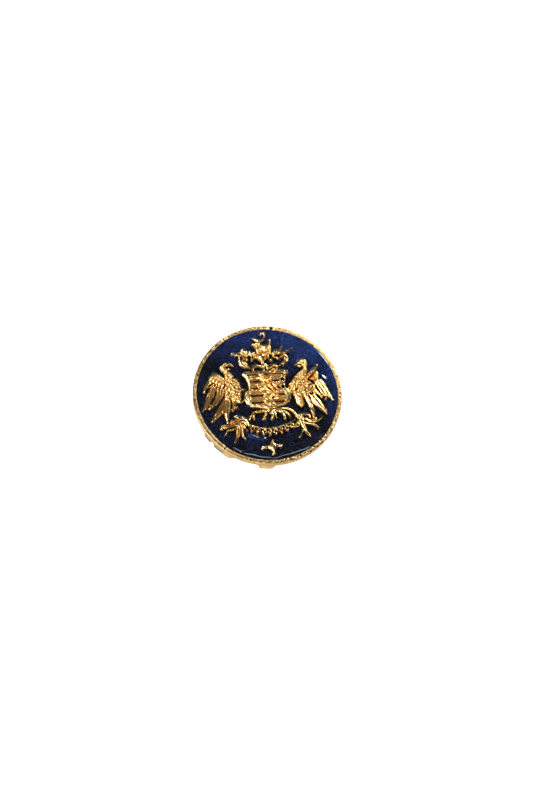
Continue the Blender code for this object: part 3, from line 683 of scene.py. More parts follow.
@device((-6.4, -4.8), (6.6, 6.7), 31, pegs=[(-3, 3.5), (3, 3.5), (0, -2)])
def shield(s):
    outline = SHIELD_HALF + [(-x, y) for x, y in SHIELD_HALF[-2:0:-1]]
    gap = s.plate(outline, .62, .16)
    inner = np.clip((gap - .55) / .12, 0, 1)
    ears = (np.abs(s.x) > 4.15) & (s.y < .9)
    inner = np.where(ears, 0, inner)
    s.h -= .16 * inner
    # barry field: broad recessed bars, with three thin ribs on each raised one
    period = 1.83
    first = 5.15
    phase = ((first - s.y) / period + .5) % 1 - .5
    recess = np.exp(-(phase / .15) ** 4)
    ribs = .5 + .5 * np.cos(phase * math.tau * 4)
    worn = .5 + hash_noise(s.x / .5, s.y / .3, 37)
    s.h += inner * (-.2 * recess * worn + .22 * ribs * (1 - recess) * worn)
    # rim of the shield
    ring = [(x * .955, y * .955 + .05) for x, y in outline]
    s.stroke(ring + [ring[0]], [.19], [.72], soft=.05)
    # charge: an irregular leafy spray, with stalks and buds
    s.leafage([(-1.9, 5.5), (-.5, 5.5), (.4, 4.3), (1.5, 3.4), (2.5, 2.4), (2.8, .6), (2.7, -1.2),
        (1.5, -2.7), (.2, -3.2), (-1, -2.8), (-1.2, -1.2), (-1.3, .2), (-1.9, 1.5), (-1.5, 2.8),
        (-1.8, 4.2)], .6, .42)
    for points in ([(.4, 1.95), (1.1, 1.25), (1.85, .45)], [(1.35, 2.45), (2, 1.7), (2.6, .85)]):
        s.stroke(points, [.18, .26, .18], [1.1, 1.2, 1.05])
    for points in ([(-.15, 2.1), (.15, 2.6), (.5, 3.1)], [(1, -.05), (1.5, -.4), (2.05, -.85)],
        [(1.5, -1.1), (2, -1.35), (2.5, -1.5)], [(2.1, .4), (2.5, .2)],
        [(-1.6, 5.2), (-1.2, 4.8), (-1, 4.4)], [(-1.1, .2), (-.7, 0), (-.3, -.2)],
        [(-2.2, 2.1), (-2, 1.5)], [(-2.2, 4.1), (-1.5, 4.05), (-1.1, 3.8)]):
        s.stroke(points, [.15, .24, .15], [.85, .92, .85])
    s.beads([(-.2, -.7), (-.4, -1.6), (-.55, -2.1), (.4, -2.6), (-3.1, -2.6), (-3.6, 4.1), (2.3, 2.6),
        (-.7, 2.6), (-1.6, .9), (1.2, 5.75), (2.3, 5.7), (4.7, 5.75)], .27, .85)
    s.beads([(-2.1, 2.6), (-1.9, 2), (-2.9, 2), (-3.5, 1.3), (.3, .9), (-.5, 1.2), (1.5, .3), (-.2, 4.4),
        (.5, 3.6), (-1.3, 3), (.9, -1.9), (-1, -2.5), (.1, -.1), (3.1, 3), (-3.2, 4.9)], .24, .7)
    s.groove([(.3, 1.5), (.9, .8), (1.5, .1)], .1, .25)
    s.groove([(.4, -.9), (1, -1.2), (1.5, -.9)], .12, .35)
    s.groove([(.8, 3.3), (1.3, 2.9), (1, 2.4)], .14, .35)
    # volutes on the ears
    for sign in (-1, 1):
        s.stroke([(sign * 4.65, .75), (sign * 5.25, .1), (sign * 5.25, -.9), (sign * 4.7, -1.9)],
            [.28, .38, .36, .3], [.7, .8, .78, .7])
        s.stroke([(sign * 4.25, .2), (sign * 4.4, -.7), (sign * 4.35, -1.7)], [.18, .22, .18], .72)
    # two openings beside the charge
    s.hole(4, 3.55, .42, .5)
    s.hole(3.95, 1.65, .36, .55)


@device((-3.9, 5.7), (4, 8.9), 41, pegs=[(0, 7.1)])
def wreath(s):
    s.plate([(-3, 6.1), (-2.9, 7.3), (3, 7.3), (3.1, 6.1)], .1, .2)
    s.stroke([(-2.85, 6.2), (-2.9, 6.9), (-2.3, 7.4), (-1.5, 7.4), (-.8, 7.05)],
        [.22, .26, .27, .26, .22], .78)
    s.stroke([(3, 6.25), (3.1, 6.9), (2.4, 7.35), (1.6, 7.1), (.95, 6.75)], [.22, .25, .27, .24, .2], .78)
    s.plate([(-1.05, 7.35), (0, 8.35), (1.4, 7.35), (.6, 7.1), (-.4, 7.1)], .6, .35)
    s.bar((-.2, 6.2, .24, .8), (-.25, 7.1, .3, .85))
    s.stroke([(.6, 6.3), (.5, 7.2)], [.2, .2], .55)
    s.stroke([(1.6, 6.35), (2.4, 6.55)], .15, .5)


@device((-2.6, 8), (2.8, 13.1), 43, pegs=[(.2, 10.4)])
def helmet(s):
    s.plate([(-1.5, 10.4), (-1.9, 11.4), (-1.9, 12.4), (-.6, 12.4), (.6, 12.2), (1.8, 12.5), (1.9, 11.4),
        (1.7, 10.5), (.6, 9.6), (-1, 9.6)], .55, .5)
    s.stroke([(-1.9, 12.45), (-.6, 12.35), (.6, 12.2), (1.9, 12.45)], .17, .85)
    s.stroke([(1.85, 12.3), (1.9, 11.5), (1.75, 10.8)], .16, .8)
    s.bar((-1.6, 11.9, .2, .8), (-1.55, 11.2, .26, .9))
    s.bar((.15, 11.85, .5, 1), (.5, 11.2, .42, 1), shape="flat")
    s.stroke([(-.7, 11.9), (-.75, 11.2)], .16, .85)
    s.stroke([(1.3, 11.6), (1.35, 10.9)], .16, .8)
    s.ball(-.45, 9.75, 1.22, 1.3)
    s.stroke([(-1.75, 10.4), (-1.9, 9.9), (-1.8, 9.5)], [.2, .22, .16], .75)
    s.stroke([(1, 10.2), (1.15, 9.5)], [.22, .26], .75)
    s.stroke([(-.4, 8.8), (-.4, 8.2)], [.42, .36], .4)


@device((-3.1, 11.7), (3.2, 16.8), 47, pegs=[(-.9, 13)])
def crest(s):
    s.stroke([(-1.8, 12.55), (0, 12.5), (1.7, 12.6)], [.2, .16, .2], .72)
    s.bar((-1.5, 12.6, .3, .72), (-1.9, 12.95, .28, .75), (-2.4, 13.15, .26, .8))
    s.bar((-2, 13, .25, .7), (-1.3, 13.6, .28, .75), (-.5, 13.9, .27, .8), (.2, 14.3, .24, .78),
        (.65, 15, .22, .75), (.72, 15.6, .22, .75), (.4, 16, .22, .78), (0, 16, .18, .7))
    s.ball(-.08, 15.78, .3, .95)
    s.bar((-.9, 13.95, .25, .75), (-1.4, 14.2, .24, .85), (-1.75, 14.6, .2, .7))
    s.ball(-2.15, 14.85, .17, .6)
    s.bar((-1.3, 13.3, .22, .8), (-.8, 12.95, .36, 1), (-.3, 12.75, .22, .8))
    s.groove([(-1.6, 13), (-1.2, 12.8)], .1, .3)
    s.stroke([(1.4, 12.6), (1.8, 13.1), (1.95, 13.7), (2, 14.1)], [.3, .2, .17, .2], .72)
    s.ball(2, 14.2, .27, .85)


@device((-8.6, 6.3), (-1.2, 13), 53, pegs=[(-4.8, 10.9)])
def mantling_left(s):
    s.plate([(-5.3, 10.3), (-3.9, 10.3), (-4.2, 9.3), (-5, 9.2)], .18, .2)
    s.bar((-1.8, 10.5, .24, .6), (-3.2, 10.45, .24, .62), (-4.6, 10.4, .22, .65), (-5.8, 10.45, .2, .6),
        (-6.8, 10.8, .16, .55), (-7.7, 11.2, .14, .5))
    s.bar((-4.1, 10.7, .4, .9), (-4.7, 11.3, .46, .95), (-5.3, 11.85, .2, .7))
    s.bar((-3.6, 10.7, .2, .85), (-4.2, 11.25, .18, .8))
    s.bar((-5, 10.7, .24, .75), (-5.5, 11.15, .22, .7), (-5.9, 11.35, .14, .6))
    s.bar((-3, 10.6, .3, .85), (-3.4, 11.1, .22, .8))
    s.bar((-2.3, 10.6, .26, .75), (-2.6, 10.95, .2, .7))
    s.groove([(-4.2, 10.85), (-5, 11.6)], .06, .25)
    s.ball(-7.6, 10.85, .24, .75)
    s.ball(-6.9, 10.45, .2, .7)
    s.bar((-5.9, 10.2, .18, .6), (-6.05, 9.3, .24, .7), (-5.9, 8.4, .28, .75), (-5.3, 7.6, .3, .8),
        (-4.5, 7.2, .24, .75), (-3.6, 7.05, .12, .55))
    s.bar((-5.35, 9.2, .16, .7), (-5.2, 8.5, .26, .9), (-4.7, 7.9, .28, .9), (-3.9, 7.45, .14, .6))
    s.bar((-4.8, 9, .12, .65), (-4.6, 8.5, .16, .75), (-4.1, 8, .12, .6))
    s.bar((-4.1, 10.2, .14, .55), (-4.15, 9.6, .18, .7), (-4.1, 9.2, .26, .85))
    s.ball(-4.1, 9.1, .27, .85)
    s.bar((-3.1, 10.3, .18, .6), (-3, 9.7, .16, .65), (-2.9, 9.2, .24, .85))
    s.ball(-2.9, 9.1, .26, .85)
    s.bar((-2.3, 10.3, .18, .65), (-2.35, 9.6, .22, .8))


@device((1.2, 6.3), (8.6, 13.2), 59, pegs=[(5, 9.4)])
def mantling_right(s):
    s.plate([(3.9, 10.2), (5.2, 10.3), (5, 9.4), (4, 9.3)], .18, .2)
    s.bar((1.9, 10.55, .26, .7), (3, 10.5, .28, .7), (4.2, 10.45, .24, .65), (5.3, 10.6, .2, .62),
        (6.2, 10.95, .2, .65), (6.8, 11.4, .2, .68), (7.25, 11.75, .2, .65))
    s.bar((3.6, 10.7, .28, .65), (4.2, 11.3, .22, .65), (4.65, 12.1, .22, .75))
    s.ball(4.72, 12.2, .24, .8)
    s.bar((2.4, 10.8, .28, .7), (2.8, 11.1, .24, .72))
    s.stroke([(3, 10.8), (3.5, 11.2)], [.24, .16], .65)
    s.bar((5.2, 10.2, .18, .65), (5.7, 9.4, .24, .75), (5.75, 8.6, .27, .8), (5.3, 7.8, .25, .8),
        (4.5, 7.2, .14, .6))
    s.bar((5.1, 9.3, .16, .75), (5, 8.6, .22, .85), (4.4, 7.9, .22, .8), (3.6, 7.3, .12, .55))
    s.bar((5.5, 9, .12, .85), (5.2, 8.2, .16, .85), (4.6, 7.6, .12, .65))
    s.bar((3.3, 9, .14, .75), (3.9, 9.2, .2, .85), (4.5, 9.6, .2, .85), (5, 9.9, .14, .75))
    s.stroke([(3, 9.4), (3.4, 9.2)], [.2, .24], .8)
    s.ball(1.75, 8.75, .42, .95)
    s.ball(2.35, 9.7, .34, .95)
    s.bar((2.3, 10.4, .2, .75), (2.5, 9.9, .2, .8), (2.75, 9.5, .14, .6))


@device((-5.9, -7.6), (7.6, -2.9), 61, pegs=[(-.3, -4.95), (4.2, -4.4)])
def base_scroll(s):
    s.plate([(-1.9, -3.9), (1.9, -3.9), (1.2, -4.9), (.1, -5.3), (-1, -4.9)], .45, .4)
    s.bar((-.6, -4.3, .3, .6), (-1.5, -4.35, .34, .75), (-2.6, -4.5, .32, .7), (-3.5, -4.9, .3, .65),
        (-3.95, -5.6, .28, .65), (-3.8, -6.4, .28, .85))
    s.bar((-2.9, -4.35, .2, .5), (-3.9, -4.8, .24, .5), (-4.6, -5.5, .24, .5), (-4.95, -6.5, .22, .65))
    s.bar((-.7, -4.7, .4, .65), (-.9, -5.4, .36, .7), (-1.3, -6.2, .38, .8))
    s.ball(-1.4, -6.4, .46, .98)
    s.bar((.5, -4.6, .42, .65), (.75, -5.4, .4, .7), (.6, -6.2, .4, .8))
    s.ball(.6, -6.4, .48, 1)
    s.bar((1, -4.5, .25, .55), (1.45, -5.2, .22, .55), (1.6, -6.2, .14, .45))
    s.bar((1.6, -4.8, .22, .75), (2.5, -4.8, .3, .85), (3.4, -5.5, .3, .8), (3.75, -6.6, .24, .8))
    s.bar((1.9, -4.45, .22, .65), (3, -4.5, .28, .75), (4.1, -5.15, .3, .85), (4.9, -6.2, .22, .75))
    s.bar((1.9, -4.05, .24, .6), (3.4, -3.95, .32, .8), (4.6, -4.3, .34, .95), (5.7, -5.1, .32, .9),
        (6.8, -6.5, .3, .8))
    s.groove([(-.6, -4.3), (-.1, -4.9), (.5, -4.3)], .16, .5)
    s.groove([(-.1, -4.8), (-.15, -5.4)], .12, .35)


@device((-13, -12.9), (-4.4, -4.6), 67, pegs=[(-7.4, -8)])
def branch_left(s):
    s.bar((-7.8, -7.6, .55, .6), (-7.75, -9, .72, .6), (-8.1, -10.3, .5, .6), (-8.85, -11.9, .2, .55),
        shape="ridge", barbs=.03)
    s.bar((-7.1, -7.8, .5, .6), (-6.95, -9.2, .55, .65), (-6.85, -10.3, .36, .7), (-6.3, -11.3, .16, .5),
        shape="ridge", barbs=.03)
    s.bar((-10.4, -9, .28, .6), (-9.6, -8.75, .28, .55), (-8.7, -8.45, .3, .55), (-8, -7.9, .3, .6))
    s.bar((-10.45, -9.1, .26, .7), (-10.9, -9.85, .28, .75))
    s.bar((-9.6, -6.95, .27, .7), (-8.6, -6.5, .3, .68), (-7.5, -6.2, .32, .7), (-6.5, -6.1, .34, .72),
        (-5.8, -6.5, .34, .7), (-5.4, -7.2, .34, .7), (-5.15, -7.9, .32, .65))
    s.stroke([(-9, -7.2), (-8, -6.9), (-7, -6.8), (-6.2, -7.1), (-5.8, -7.8)], [.2, .24, .24, .24, .2],
        .62)
    s.bar((-11.8, -8.1, .4, .7), (-10.9, -8.05, .32, .65), (-9.8, -7.85, .32, .65),
        (-8.7, -7.55, .32, .68), (-7.7, -7.4, .3, .65), (-6.9, -7.5, .28, .6), (-6.3, -8, .25, .55))
    s.bar((-11.6, -7.6, .24, .6), (-10.8, -7.55, .24, .55), (-10.1, -7.5, .2, .5))
    s.ball(-11.7, -8.2, .48, .85)
    s.groove([(-11, -7.8), (-9.6, -7.55), (-8.2, -7.2), (-7.2, -7.1)], .06, .25)
    s.bar((-8.5, -5.35, .2, .5), (-8.1, -5.35, .25, .55), (-7.7, -5.5, .2, .5))
    s.stroke([(-8, -5.6), (-7.5, -6)], [.2, .2], .45)
    s.bar((-7, -5.95, .22, .6), (-6.6, -5.6, .25, .62))
    s.ball(-9.35, -6.5, .27, .55)
    s.ball(-9.55, -7.15, .3, .8)
    s.bar((-6.5, -7.9, .3, .7), (-6.25, -8.5, .34, .8))
    s.ball(-5.8, -9.1, .28, .75)
    s.ball(-5.5, -6.6, .22, .75)


@device((5, -12.3), (13.2, -5.2), 71, pegs=[(8.2, -8)])
def branch_right(s):
    s.bar((7.5, -7, .85, .6), (7.8, -8.3, .65, .62), (8.15, -9.5, .52, .6), (8.6, -10.6, .38, .6),
        (9.25, -11.4, .2, .55))
    s.bar((7.9, -9.7, .22, .75), (8.4, -10.4, .27, .8), (8.8, -11, .2, .7))
    s.bar((6.8, -6.2, .27, .7), (7.6, -6, .24, .62), (8.6, -5.95, .24, .6), (9.5, -6.1, .24, .6),
        (9.7, -6.7, .2, .55))
    s.bar((6.9, -6.1, .3, .85), (7.5, -6.55, .42, .95), (8.1, -7.1, .3, .8))
    s.plate([(8, -6.2), (9.6, -6.2), (9.8, -7.2), (8.8, -7.3)], .15, .2)
    s.bar((8.5, -7.1, .35, .85), (9.3, -7.65, .42, .85), (10.3, -8, .36, .7), (11.2, -7.9, .34, .65),
        (11.9, -7.5, .3, .65), (12.45, -7, .24, .6))
    s.bar((8.3, -8, .3, .6), (9.2, -8.35, .26, .7), (10.2, -8.55, .28, .75), (10.9, -8.95, .27, .75),
        (11.4, -9.55, .2, .7))
    s.stroke([(9.7, -7.2), (10.3, -7.35), (10.9, -7.6)], [.16, .16, .16], .45)
    s.bar((10.85, -6.95, .2, .8), (11.15, -7.4, .24, .85))
    s.bar((7.7, -9.7, .2, .5), (7.3, -10.5, .13, .42), (6.95, -11.1, .12, .4), (6.65, -11.5, .1, .4))
    s.ball(6.65, -11.5, .18, .5)
    s.bar((7, -7, .32, .6), (6.35, -7.9, .25, .55), (5.75, -8.7, .2, .6))
    s.stroke([(6.7, -7.9), (6.85, -8.5), (6.3, -8.75), (5.8, -8.85)], [.22, .22, .22, .18], .5)
    s.stroke([(7.35, -8.3), (7.55, -8.7)], [.2, .2], .75)


BAND_LOW, BAND_CURVE = -8.95, 0.053


@device((-5.6, -11.3), (6.7, -6.5), 73, pegs=[(-3.2, -9.1), (3.2, -9.1)])
def beaded_band(s):
    """A cord hung with plain lozenges and round beads, turn about."""

    def cord_y(x):
        return BAND_LOW + BAND_CURVE * x * x

    places = np.linspace(-4.7, 6, 9)
    s.stroke([(x, cord_y(x)) for x in places], [.14, .16, .16, .16, .14], [.5, .45, .45, .5, .5])
    for number, x in enumerate(np.linspace(-4.4, 5.1, 8)):
        y = cord_y(x) - .95
        lean = 2 * BAND_CURVE * x
        down = np.array([lean, -1]) / math.hypot(lean, 1)
        across = np.array([-down[1], down[0]])
        centre = np.array([x, y])
        if number % 2:
            turns = np.linspace(0, math.tau, 9)
            ring = [tuple(centre + .4 * (across * math.cos(t) + down * math.sin(t))) for t in turns]
            s.stroke(ring, .15, .85)
            s.ball(*centre + down * .72, .22, .9)
        else:
            corners = [centre - down * .78, centre + across * .5, centre + down * .78,
                centre - across * .5]
            ring = [tuple(c) for c in corners + corners[:1]]
            for pair in zip(ring, ring[1:]):
                s.stroke(list(pair), .16, .85)


@device((-3.4, -16.6), (3.7, -11.3), 79, pegs=[(.2, -13.3)])
def fleuron(s):
    s.plate([(0, -12), (.8, -12.8), (1.5, -13.4), (.9, -14.2), (.3, -14.7), (-.7, -14.3), (-1.7, -13.8),
        (-1, -12.9)], .85, .7)
    s.bar((-.8, -13.5, .4, .8), (-1.6, -13.7, .38, .75), (-2.3, -13.9, .42, .85))
    s.ball(-2.35, -13.85, .52, .92)
    s.bar((.8, -13.4, .3, .75), (1.5, -13.5, .32, .7), (2.1, -13.7, .34, .75))
    s.ball(2, -13.65, .48, .88)
    s.bar((.05, -12.9, .5, .85), (0, -12, .24, .6))
    s.bar((-.1, -14, .5, .85), (.1, -14.8, .38, .75), (.1, -15.4, .4, .8))
    s.ball(.08, -15.45, .46, .92)
    s.groove([(.2, -12.5), (.7, -13.3), (.4, -14.1)], .12, .18)


def make_devices(gold):
    """Build every device and return where they stand, for the enamel's meniscus."""
    reliefs = []
    for node, (build, low, high, seed, pegs) in DEVICES.items():
        relief = Relief(low, high, seed)
        build(relief)
        relief.finish()
        piece = relief_object(node + "_relief", relief, pegs)
        piece.data.materials.append(gold)
        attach(piece, BODY)
        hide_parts(node)
        reliefs.append(relief)
    return reliefs


# ---------------------------------------------------------------- enamel

ENAMEL_PITCH = 0.14

# Drops left in the enamel: place, half length, half width, turn in degrees, height
ENAMEL_BEADS = [
    (-4.6, -10.6, 1.3, 0.45, -28.0, 0.46),
    (-2.2, -11.3, 0.9, 0.40, -12.0, 0.26),
    (14.2, 3.3, 1.1, 0.32, -58.0, 0.13),
    (-4.9, -2.9, 0.7, 0.3, -40.0, 0.13),
    (-10.9, -10.2, 0.5, 0.4, -60.0, 0.10),
    (-8.8, -12.3, 0.5, 0.35, -10.0, 0.10),
]


def pooled_bead(x, y, place_x, place_y, long, wide, turn, height):
    c, s = math.cos(math.radians(turn)), math.sin(math.radians(turn))
    along = ((x - place_x) * c + (y - place_y) * s) / long
    across = ((y - place_y) * c - (x - place_x) * s) / wide
    return height * np.exp(-along ** 2 - across ** 2)


def make_enamel(reliefs, material):
    """A domed sheet that climbs a little up the rim and round every device."""
    reach = RIM_INNER + ENAMEL_PITCH
    line = np.arange(-reach, reach + ENAMEL_PITCH, ENAMEL_PITCH)
    x, y = np.meshgrid(line, line)
    stands = np.zeros(x.shape)
    for relief in reliefs:
        i = np.clip(((x - relief.xs[0]) / PITCH).round().astype(int), 0, len(relief.xs) - 1)
        j = np.clip(((y - relief.ys[0]) / PITCH).round().astype(int), 0, len(relief.ys) - 1)
        within = ((x >= relief.xs[0]) & (x <= relief.xs[-1])
                  & (y >= relief.ys[0]) & (y <= relief.ys[-1]))
        stands = np.maximum(stands, np.where(within & (relief.h[j, i] > 0), 1.0, 0.0))
    near = blur(stands, 0.3 / ENAMEL_PITCH)
    wide = blur(stands, 0.9 / ENAMEL_PITCH)
    radius = np.hypot(x, y)
    climb = 1.9 + 1.1 * hash_noise(x / 3.8, y / 3.8, 17)
    edge = np.clip(1 - (RIM_INNER - radius) / climb, 0, 1) ** 2
    wave = hash_noise(x / 3.1, y / 3.1, 5) + hash_noise(x / 1.3, y / 1.3, 6) * 0.4
    shoulder = dent(np.arctan2(y, x), 36, 24)
    contact = 0.2 * shoulder * np.clip(1 - (RIM_INNER - radius) / 0.35, 0, 1) ** 2
    beaded = sum(pooled_bead(x, y, *spot) for spot in ENAMEL_BEADS)
    climbing = 0.11 * near + 0.14 * wide + 0.32 * edge
    z = ENAMEL_TOP - 0.08 + beaded + contact + climbing + 0.05 * (wave - 0.7)
    inside = radius < RIM_INNER
    keep = inside[:-1, :-1] & inside[1:, :-1] & inside[:-1, 1:] & inside[1:, 1:]
    # one more cell all round, drawn back to the limit below
    around = np.pad(keep, 1)
    rows, columns = keep.shape
    for dj in (0, 1, 2):
        for di in (0, 1, 2):
            keep = keep | around[dj:dj + rows, di:di + columns]
    limit = RIM_INNER + 0.06
    pull = np.where(radius > limit, limit / np.maximum(radius, 1e-6), 1.0)
    # painted shade in the enamel's colour: darker round the devices and towards the lower left; painted
    # light, lighter, towards the upper right and on the drops
    painted_shade_lower_left = 0.9 * np.clip((9.0 - 0.45 * x - 0.75 * y) / 8.0, 0, 1)
    painted_shade_lower_left = painted_shade_lower_left - 0.25 * (hash_noise(x / 2.5, y / 2.5, 15) - 0.5)
    thick = np.maximum(blur(stands, 1.5 / ENAMEL_PITCH) * 2.0, painted_shade_lower_left) - 5.0 * beaded
    piece = closed_sheet("enamel_surface", x * pull, y * pull, z, bottom_of("enamel_field"), keep, {
        "thick": np.clip(thick, 0, 1)
    })
    piece.data.materials.append(material)
    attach(piece, BODY)
    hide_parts("enamel_field")


# ---------------------------------------------------------------- rim and wall

RIM_SEGMENTS = 1080
CORNER_STEPS = 5
INNER_ROUND = 0.14
OUTER_ROUND = 0.2
# An outward step in the rim's inner edge: where it starts, and how far round it fades
STEP_START = 229.5
STEP_FADE = (232, 26)

# Casting flaws in the rim's top: angle and width in degrees, rise, and how far short of the
# outer edge each one stops (-1 for one that runs over the edge)
RIM_FLAWS = [
    (81.5, 1.3, -0.45, 0.15), (79.3, 0.6, 0.12, -1), (121.5, 0.9, -0.30, -1), (134, 0.9, 0.12, -1),
    (42, 1.2, 0.10, 0.5), (229.5, 0.35, -0.25, -1), (291, 0.9, -0.10, -1), (160, 1.0, -0.08, -1),
]


def angle_gap(theta, degrees):
    return (theta - math.radians(degrees) + math.pi) % math.tau - math.pi


def dent(theta, degrees, width):
    """1 at an angle, fading to 0 over a width in degrees."""
    return np.exp(-(angle_gap(theta, degrees) / math.radians(width)) ** 2)


def make_rim(material):
    """The dish: hatched and flawed rim, plain wall, floor and back recess."""
    floor_top = bottom_of("enamel_field") - 0.05
    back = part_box("back_plate")
    recess_radius = back[1][0] / MM + 0.05
    recess_top = back[1][2] / MM + 0.05
    inner, outer, top, bottom = RIM_INNER, BADGE_RADIUS, RIM_TOP, WALL_BOTTOM
    # radius, height, share of the top's unevenness, and whether it is wall
    profile = [(r, floor_top, 0, 0) for r in (0.5, inner - 0.3, inner)]
    profile += [(inner, z, 0, 0) for z in np.linspace(floor_top + 0.15, top - INNER_ROUND, 5)]
    corner = np.linspace(0, 1, CORNER_STEPS + 1)
    for a in corner * math.pi / 2:
        r, z = inner + INNER_ROUND * (1 - math.cos(a)), top - INNER_ROUND * (1 - math.sin(a))
        profile.append((r, z, 0.6, 0))
    profile += [(r, top, 1, 0) for r in np.linspace(inner + 0.2, outer - 0.26, 7)]
    for part in corner:
        a = math.pi / 2 * part
        r, z = outer - OUTER_ROUND * (1 - math.sin(a)), top - OUTER_ROUND * (1 - math.cos(a))
        profile.append((r, z, 0.7, 0.15 * part))
    profile += [(outer, z, 0.12, 1) for z in np.linspace(top - 0.28, bottom + 0.1, 14)]
    profile += [(outer - 0.03, bottom + 0.03, 0, 1), (outer - 0.1, bottom, 0, 1),
                (recess_radius, bottom, 0, 1), (recess_radius, recess_top, 0, 1),
                (0.5, recess_top, 0, 1)]
    rows = np.array(profile)
    theta = np.linspace(0, math.tau, RIM_SEGMENTS, endpoint=False)
    t, r = np.meshgrid(theta, rows[:, 0])
    z, amount, on_wall = (np.repeat(rows[:, k:k + 1], RIM_SEGMENTS, axis=1) for k in (1, 2, 3))
    arc = t * outer
    # oblique hatching, strongest on the upper left, worn smooth on the upper right
    hatch = np.sin((arc * 1.0 + r * 1.3) * math.tau / 0.46)
    hatch *= 0.5 + 0.5 * hash_noise(arc / 0.9, r / 0.5, 3)
    lumps = hash_noise(arc / 0.5, r / 0.35, 7) - 0.5
    fine = hash_noise(arc / 0.2, r / 0.2, 8) - 0.5
    worn = 1 - 0.7 * dent(t, 42, 32) - 0.75 * dent(t, 226, 38)
    rough = 1 + 1.2 * dent(t, 297, 14) + 0.6 * dent(t, 318, 12)
    height = worn * rough * (0.008 * hatch + 0.08 * lumps + 0.07 * fine)
    height += 0.05 * (hash_noise(arc / 4.0, r * 0, 9) - 0.5)
    for degrees, width, rise, clear in RIM_FLAWS:
        height += rise * dent(t, degrees, width) * (r < outer - clear)
    z = z + height * amount
    # the wall is a little uneven, the rim's edges wander, and one stretch steps outward
    pull = 0.05 * (hash_noise(arc / 2.2, z / 2.0, 12) - 0.5) - 0.02
    streak = 0.03 * (hash_noise(arc / 0.9, z / 0.14, 13) - 0.5)
    wander = 0.05 * (hash_noise(arc / 1.4, z * 0, 14) - 0.5)
    r = r + np.where((on_wall > 0.5) & (r > outer - 0.2), pull + streak, 0)
    r = r + np.where((on_wall < 0.2) & (amount > 0.3), wander, 0)
    past = angle_gap(t, STEP_START)
    fade = 1 - angle_gap(t, STEP_FADE[0]) / math.radians(STEP_FADE[1])
    step = 0.22 * np.clip(past / math.radians(0.8), 0, 1) * np.clip(fade, 0, 1)
    r = r + np.where((amount > 0.3) & (r < outer - 0.5), step * (past > 0), 0)
    x, y = r * np.cos(t), r * np.sin(t)
    verts = np.column_stack([x.ravel(), y.ravel(), z.ravel()])
    rings = len(rows)
    grid = np.arange(rings * RIM_SEGMENTS).reshape(rings, RIM_SEGMENTS)
    after = np.roll(grid, -1, axis=1)
    faces = np.stack([grid[:-1], grid[1:], after[1:], after[:-1]], axis=-1).reshape(-1, 4)
    cavity = height * amount
    cavity = cavity - blur(cavity, 3.0)
    piece = mesh_object("rim_and_dish", verts, faces, {
        "cavity": cavity.ravel(), "wall": on_wall.ravel()
    })
    close_holes(piece)
    piece.data.shade_smooth()
    piece.data.set_sharp_from_angle(angle=math.radians(50))
    piece.data.materials.append(material)
    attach(piece, BODY)
    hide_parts("badge_body")


def close_holes(piece):
    """Cap the middle of the floor and of the back, and turn every face outward."""
    shape = bmesh.new()
    shape.from_mesh(piece.data)
    bmesh.ops.holes_fill(shape, edges=[e for e in shape.edges if e.is_boundary], sides=0)
    bmesh.ops.recalc_face_normals(shape, faces=shape.faces)
    shape.to_mesh(piece.data)
    shape.free()


# ---------------------------------------------------------------- back

def finish_back():
    gold, steel = fitting_gold("gilt_fitting", False), pin_steel()
    for node in ("back_plate", "lower_foot", "side_foot", "upper_foot",
                 "catch_base", "catch_sleeve"):
        dress(node, gold)
    dress("hinge_bracket", fitting_gold("gilt_hinge", True))
    for node in ("hinge_rivet", "brooch_pin"):
        dress(node, steel)


def dress(node, material):
    """Give a part straight from the CAD its material."""
    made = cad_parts[node]
    made.data.materials.clear()
    made.data.materials.append(material)


# ---------------------------------------------------------------- stage, light, camera

CAMERA_ELEVATION = 66.27
CAMERA_AZIMUTH = -16.1
CAMERA_ROLL = 11.4
CAMERA_DISTANCE = 0.4537
CAMERA_LENS = 85.0
SENSOR = 36.0
IMAGE_HEIGHT = 800
# How far the view is moved off the rim's centre, in pixels of the image
CENTRE_RIGHT = 1.0
CENTRE_UP = 6.29


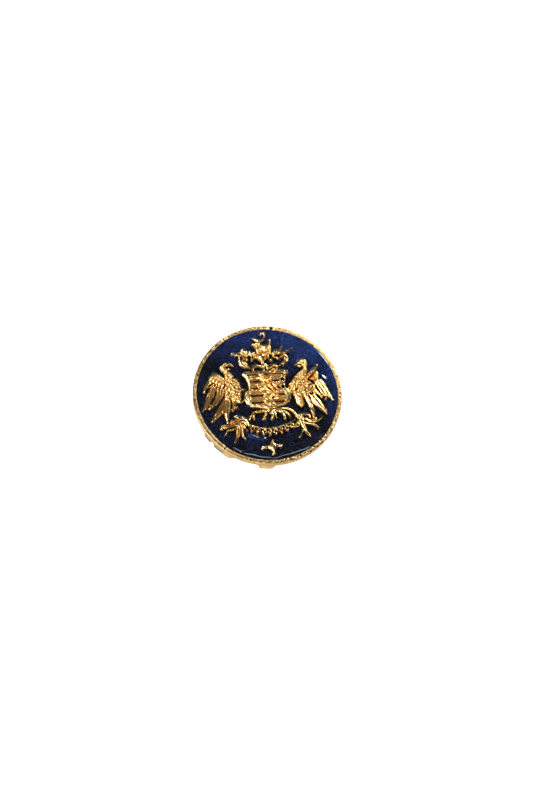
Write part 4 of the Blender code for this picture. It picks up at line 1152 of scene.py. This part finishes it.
def make_camera():
    """Look at the badge's rim, with the badge near the middle of the frame."""
    e, a = math.radians(CAMERA_ELEVATION), math.radians(CAMERA_AZIMUTH)
    back = Vector((math.sin(a) * math.cos(e), -math.cos(a) * math.cos(e), math.sin(e)))
    right = Vector((math.cos(a), math.sin(a), 0))
    up = back.cross(right)
    turn = Matrix.Rotation(math.radians(CAMERA_ROLL), 3, back)
    right, up = turn @ right, turn @ up
    data = bpy.data.cameras.new("camera")
    data.lens = CAMERA_LENS
    data.sensor_width = SENSOR
    data.clip_start = 0.01
    data.clip_end = 10
    data.shift_x = -CENTRE_RIGHT / IMAGE_HEIGHT
    data.shift_y = -CENTRE_UP / IMAGE_HEIGHT
    camera = bpy.data.objects.new("camera", data)
    camera.matrix_world = Matrix.Translation(
        Vector((0, 0, RIM_TOP * MM)) + back * CAMERA_DISTANCE
    ) @ Matrix((right, up, back)).transposed().to_4x4()
    bpy.context.collection.objects.link(camera)
    bpy.context.scene.camera = camera


LIGHT_TARGET = (0, 0, 0.003)


def area_light(name, place, size, power, colour=(1, 1, 1)):
    data = bpy.data.lights.new(name, "AREA")
    data.shape = "RECTANGLE"
    data.size, data.size_y = size
    data.energy = power
    data.color = colour
    made = bpy.data.objects.new(name, data)
    made.location = place
    made.rotation_euler = (Vector(LIGHT_TARGET) - Vector(place)).to_track_quat("-Z", "Y").to_euler()
    bpy.context.collection.objects.link(made)


def make_stage():
    """The sheet the badge lies on, a hair below its feet."""
    size = 3
    verts = [(-size, -size, 0), (size, -size, 0), (size, size, 0), (-size, size, 0)]
    mesh = bpy.data.meshes.new("floor")
    mesh.from_pydata(verts, [], [(0, 1, 2, 3)])
    floor = bpy.data.objects.new("floor", mesh)
    bpy.context.collection.objects.link(floor)
    floor.location.z = -0.00005
    mesh.materials.append(paper())


def make_lights():
    """Dark studio with a few soft boxes, so that the gilt has both glints and depth."""
    scene = bpy.context.scene
    scene.view_settings.view_transform = "Standard"
    world = bpy.data.worlds.new("studio")
    world.use_nodes = True
    backdrop = world.node_tree.nodes["Background"]
    backdrop.inputs["Color"].default_value = (0.85, 0.92, 1.0, 1)
    backdrop.inputs["Strength"].default_value = 0.05
    scene.world = world
    area_light("left_box", (-0.55, -0.12, 0.30), (0.16, 0.20), 4.2, (1.0, 0.985, 0.95))
    area_light("near_box", (0.062, 0.082, 0.082), (0.025, 0.025), 0.12, (1.0, 0.99, 0.97))
    area_light("back_strip", (0.05, 0.29, 0.385), (0.12, 0.012), 0.04, (0.8, 0.9, 1.0))
    area_light("front_box", (-0.25, -0.65, 0.26), (0.16, 0.12), 2.2)


def main():
    make_stage()
    make_camera()
    make_lights()
    gold = device_gold()
    reliefs = make_devices(gold)
    make_enamel(reliefs, blue_enamel())
    make_rim(rim_gold())
    finish_back()


main()
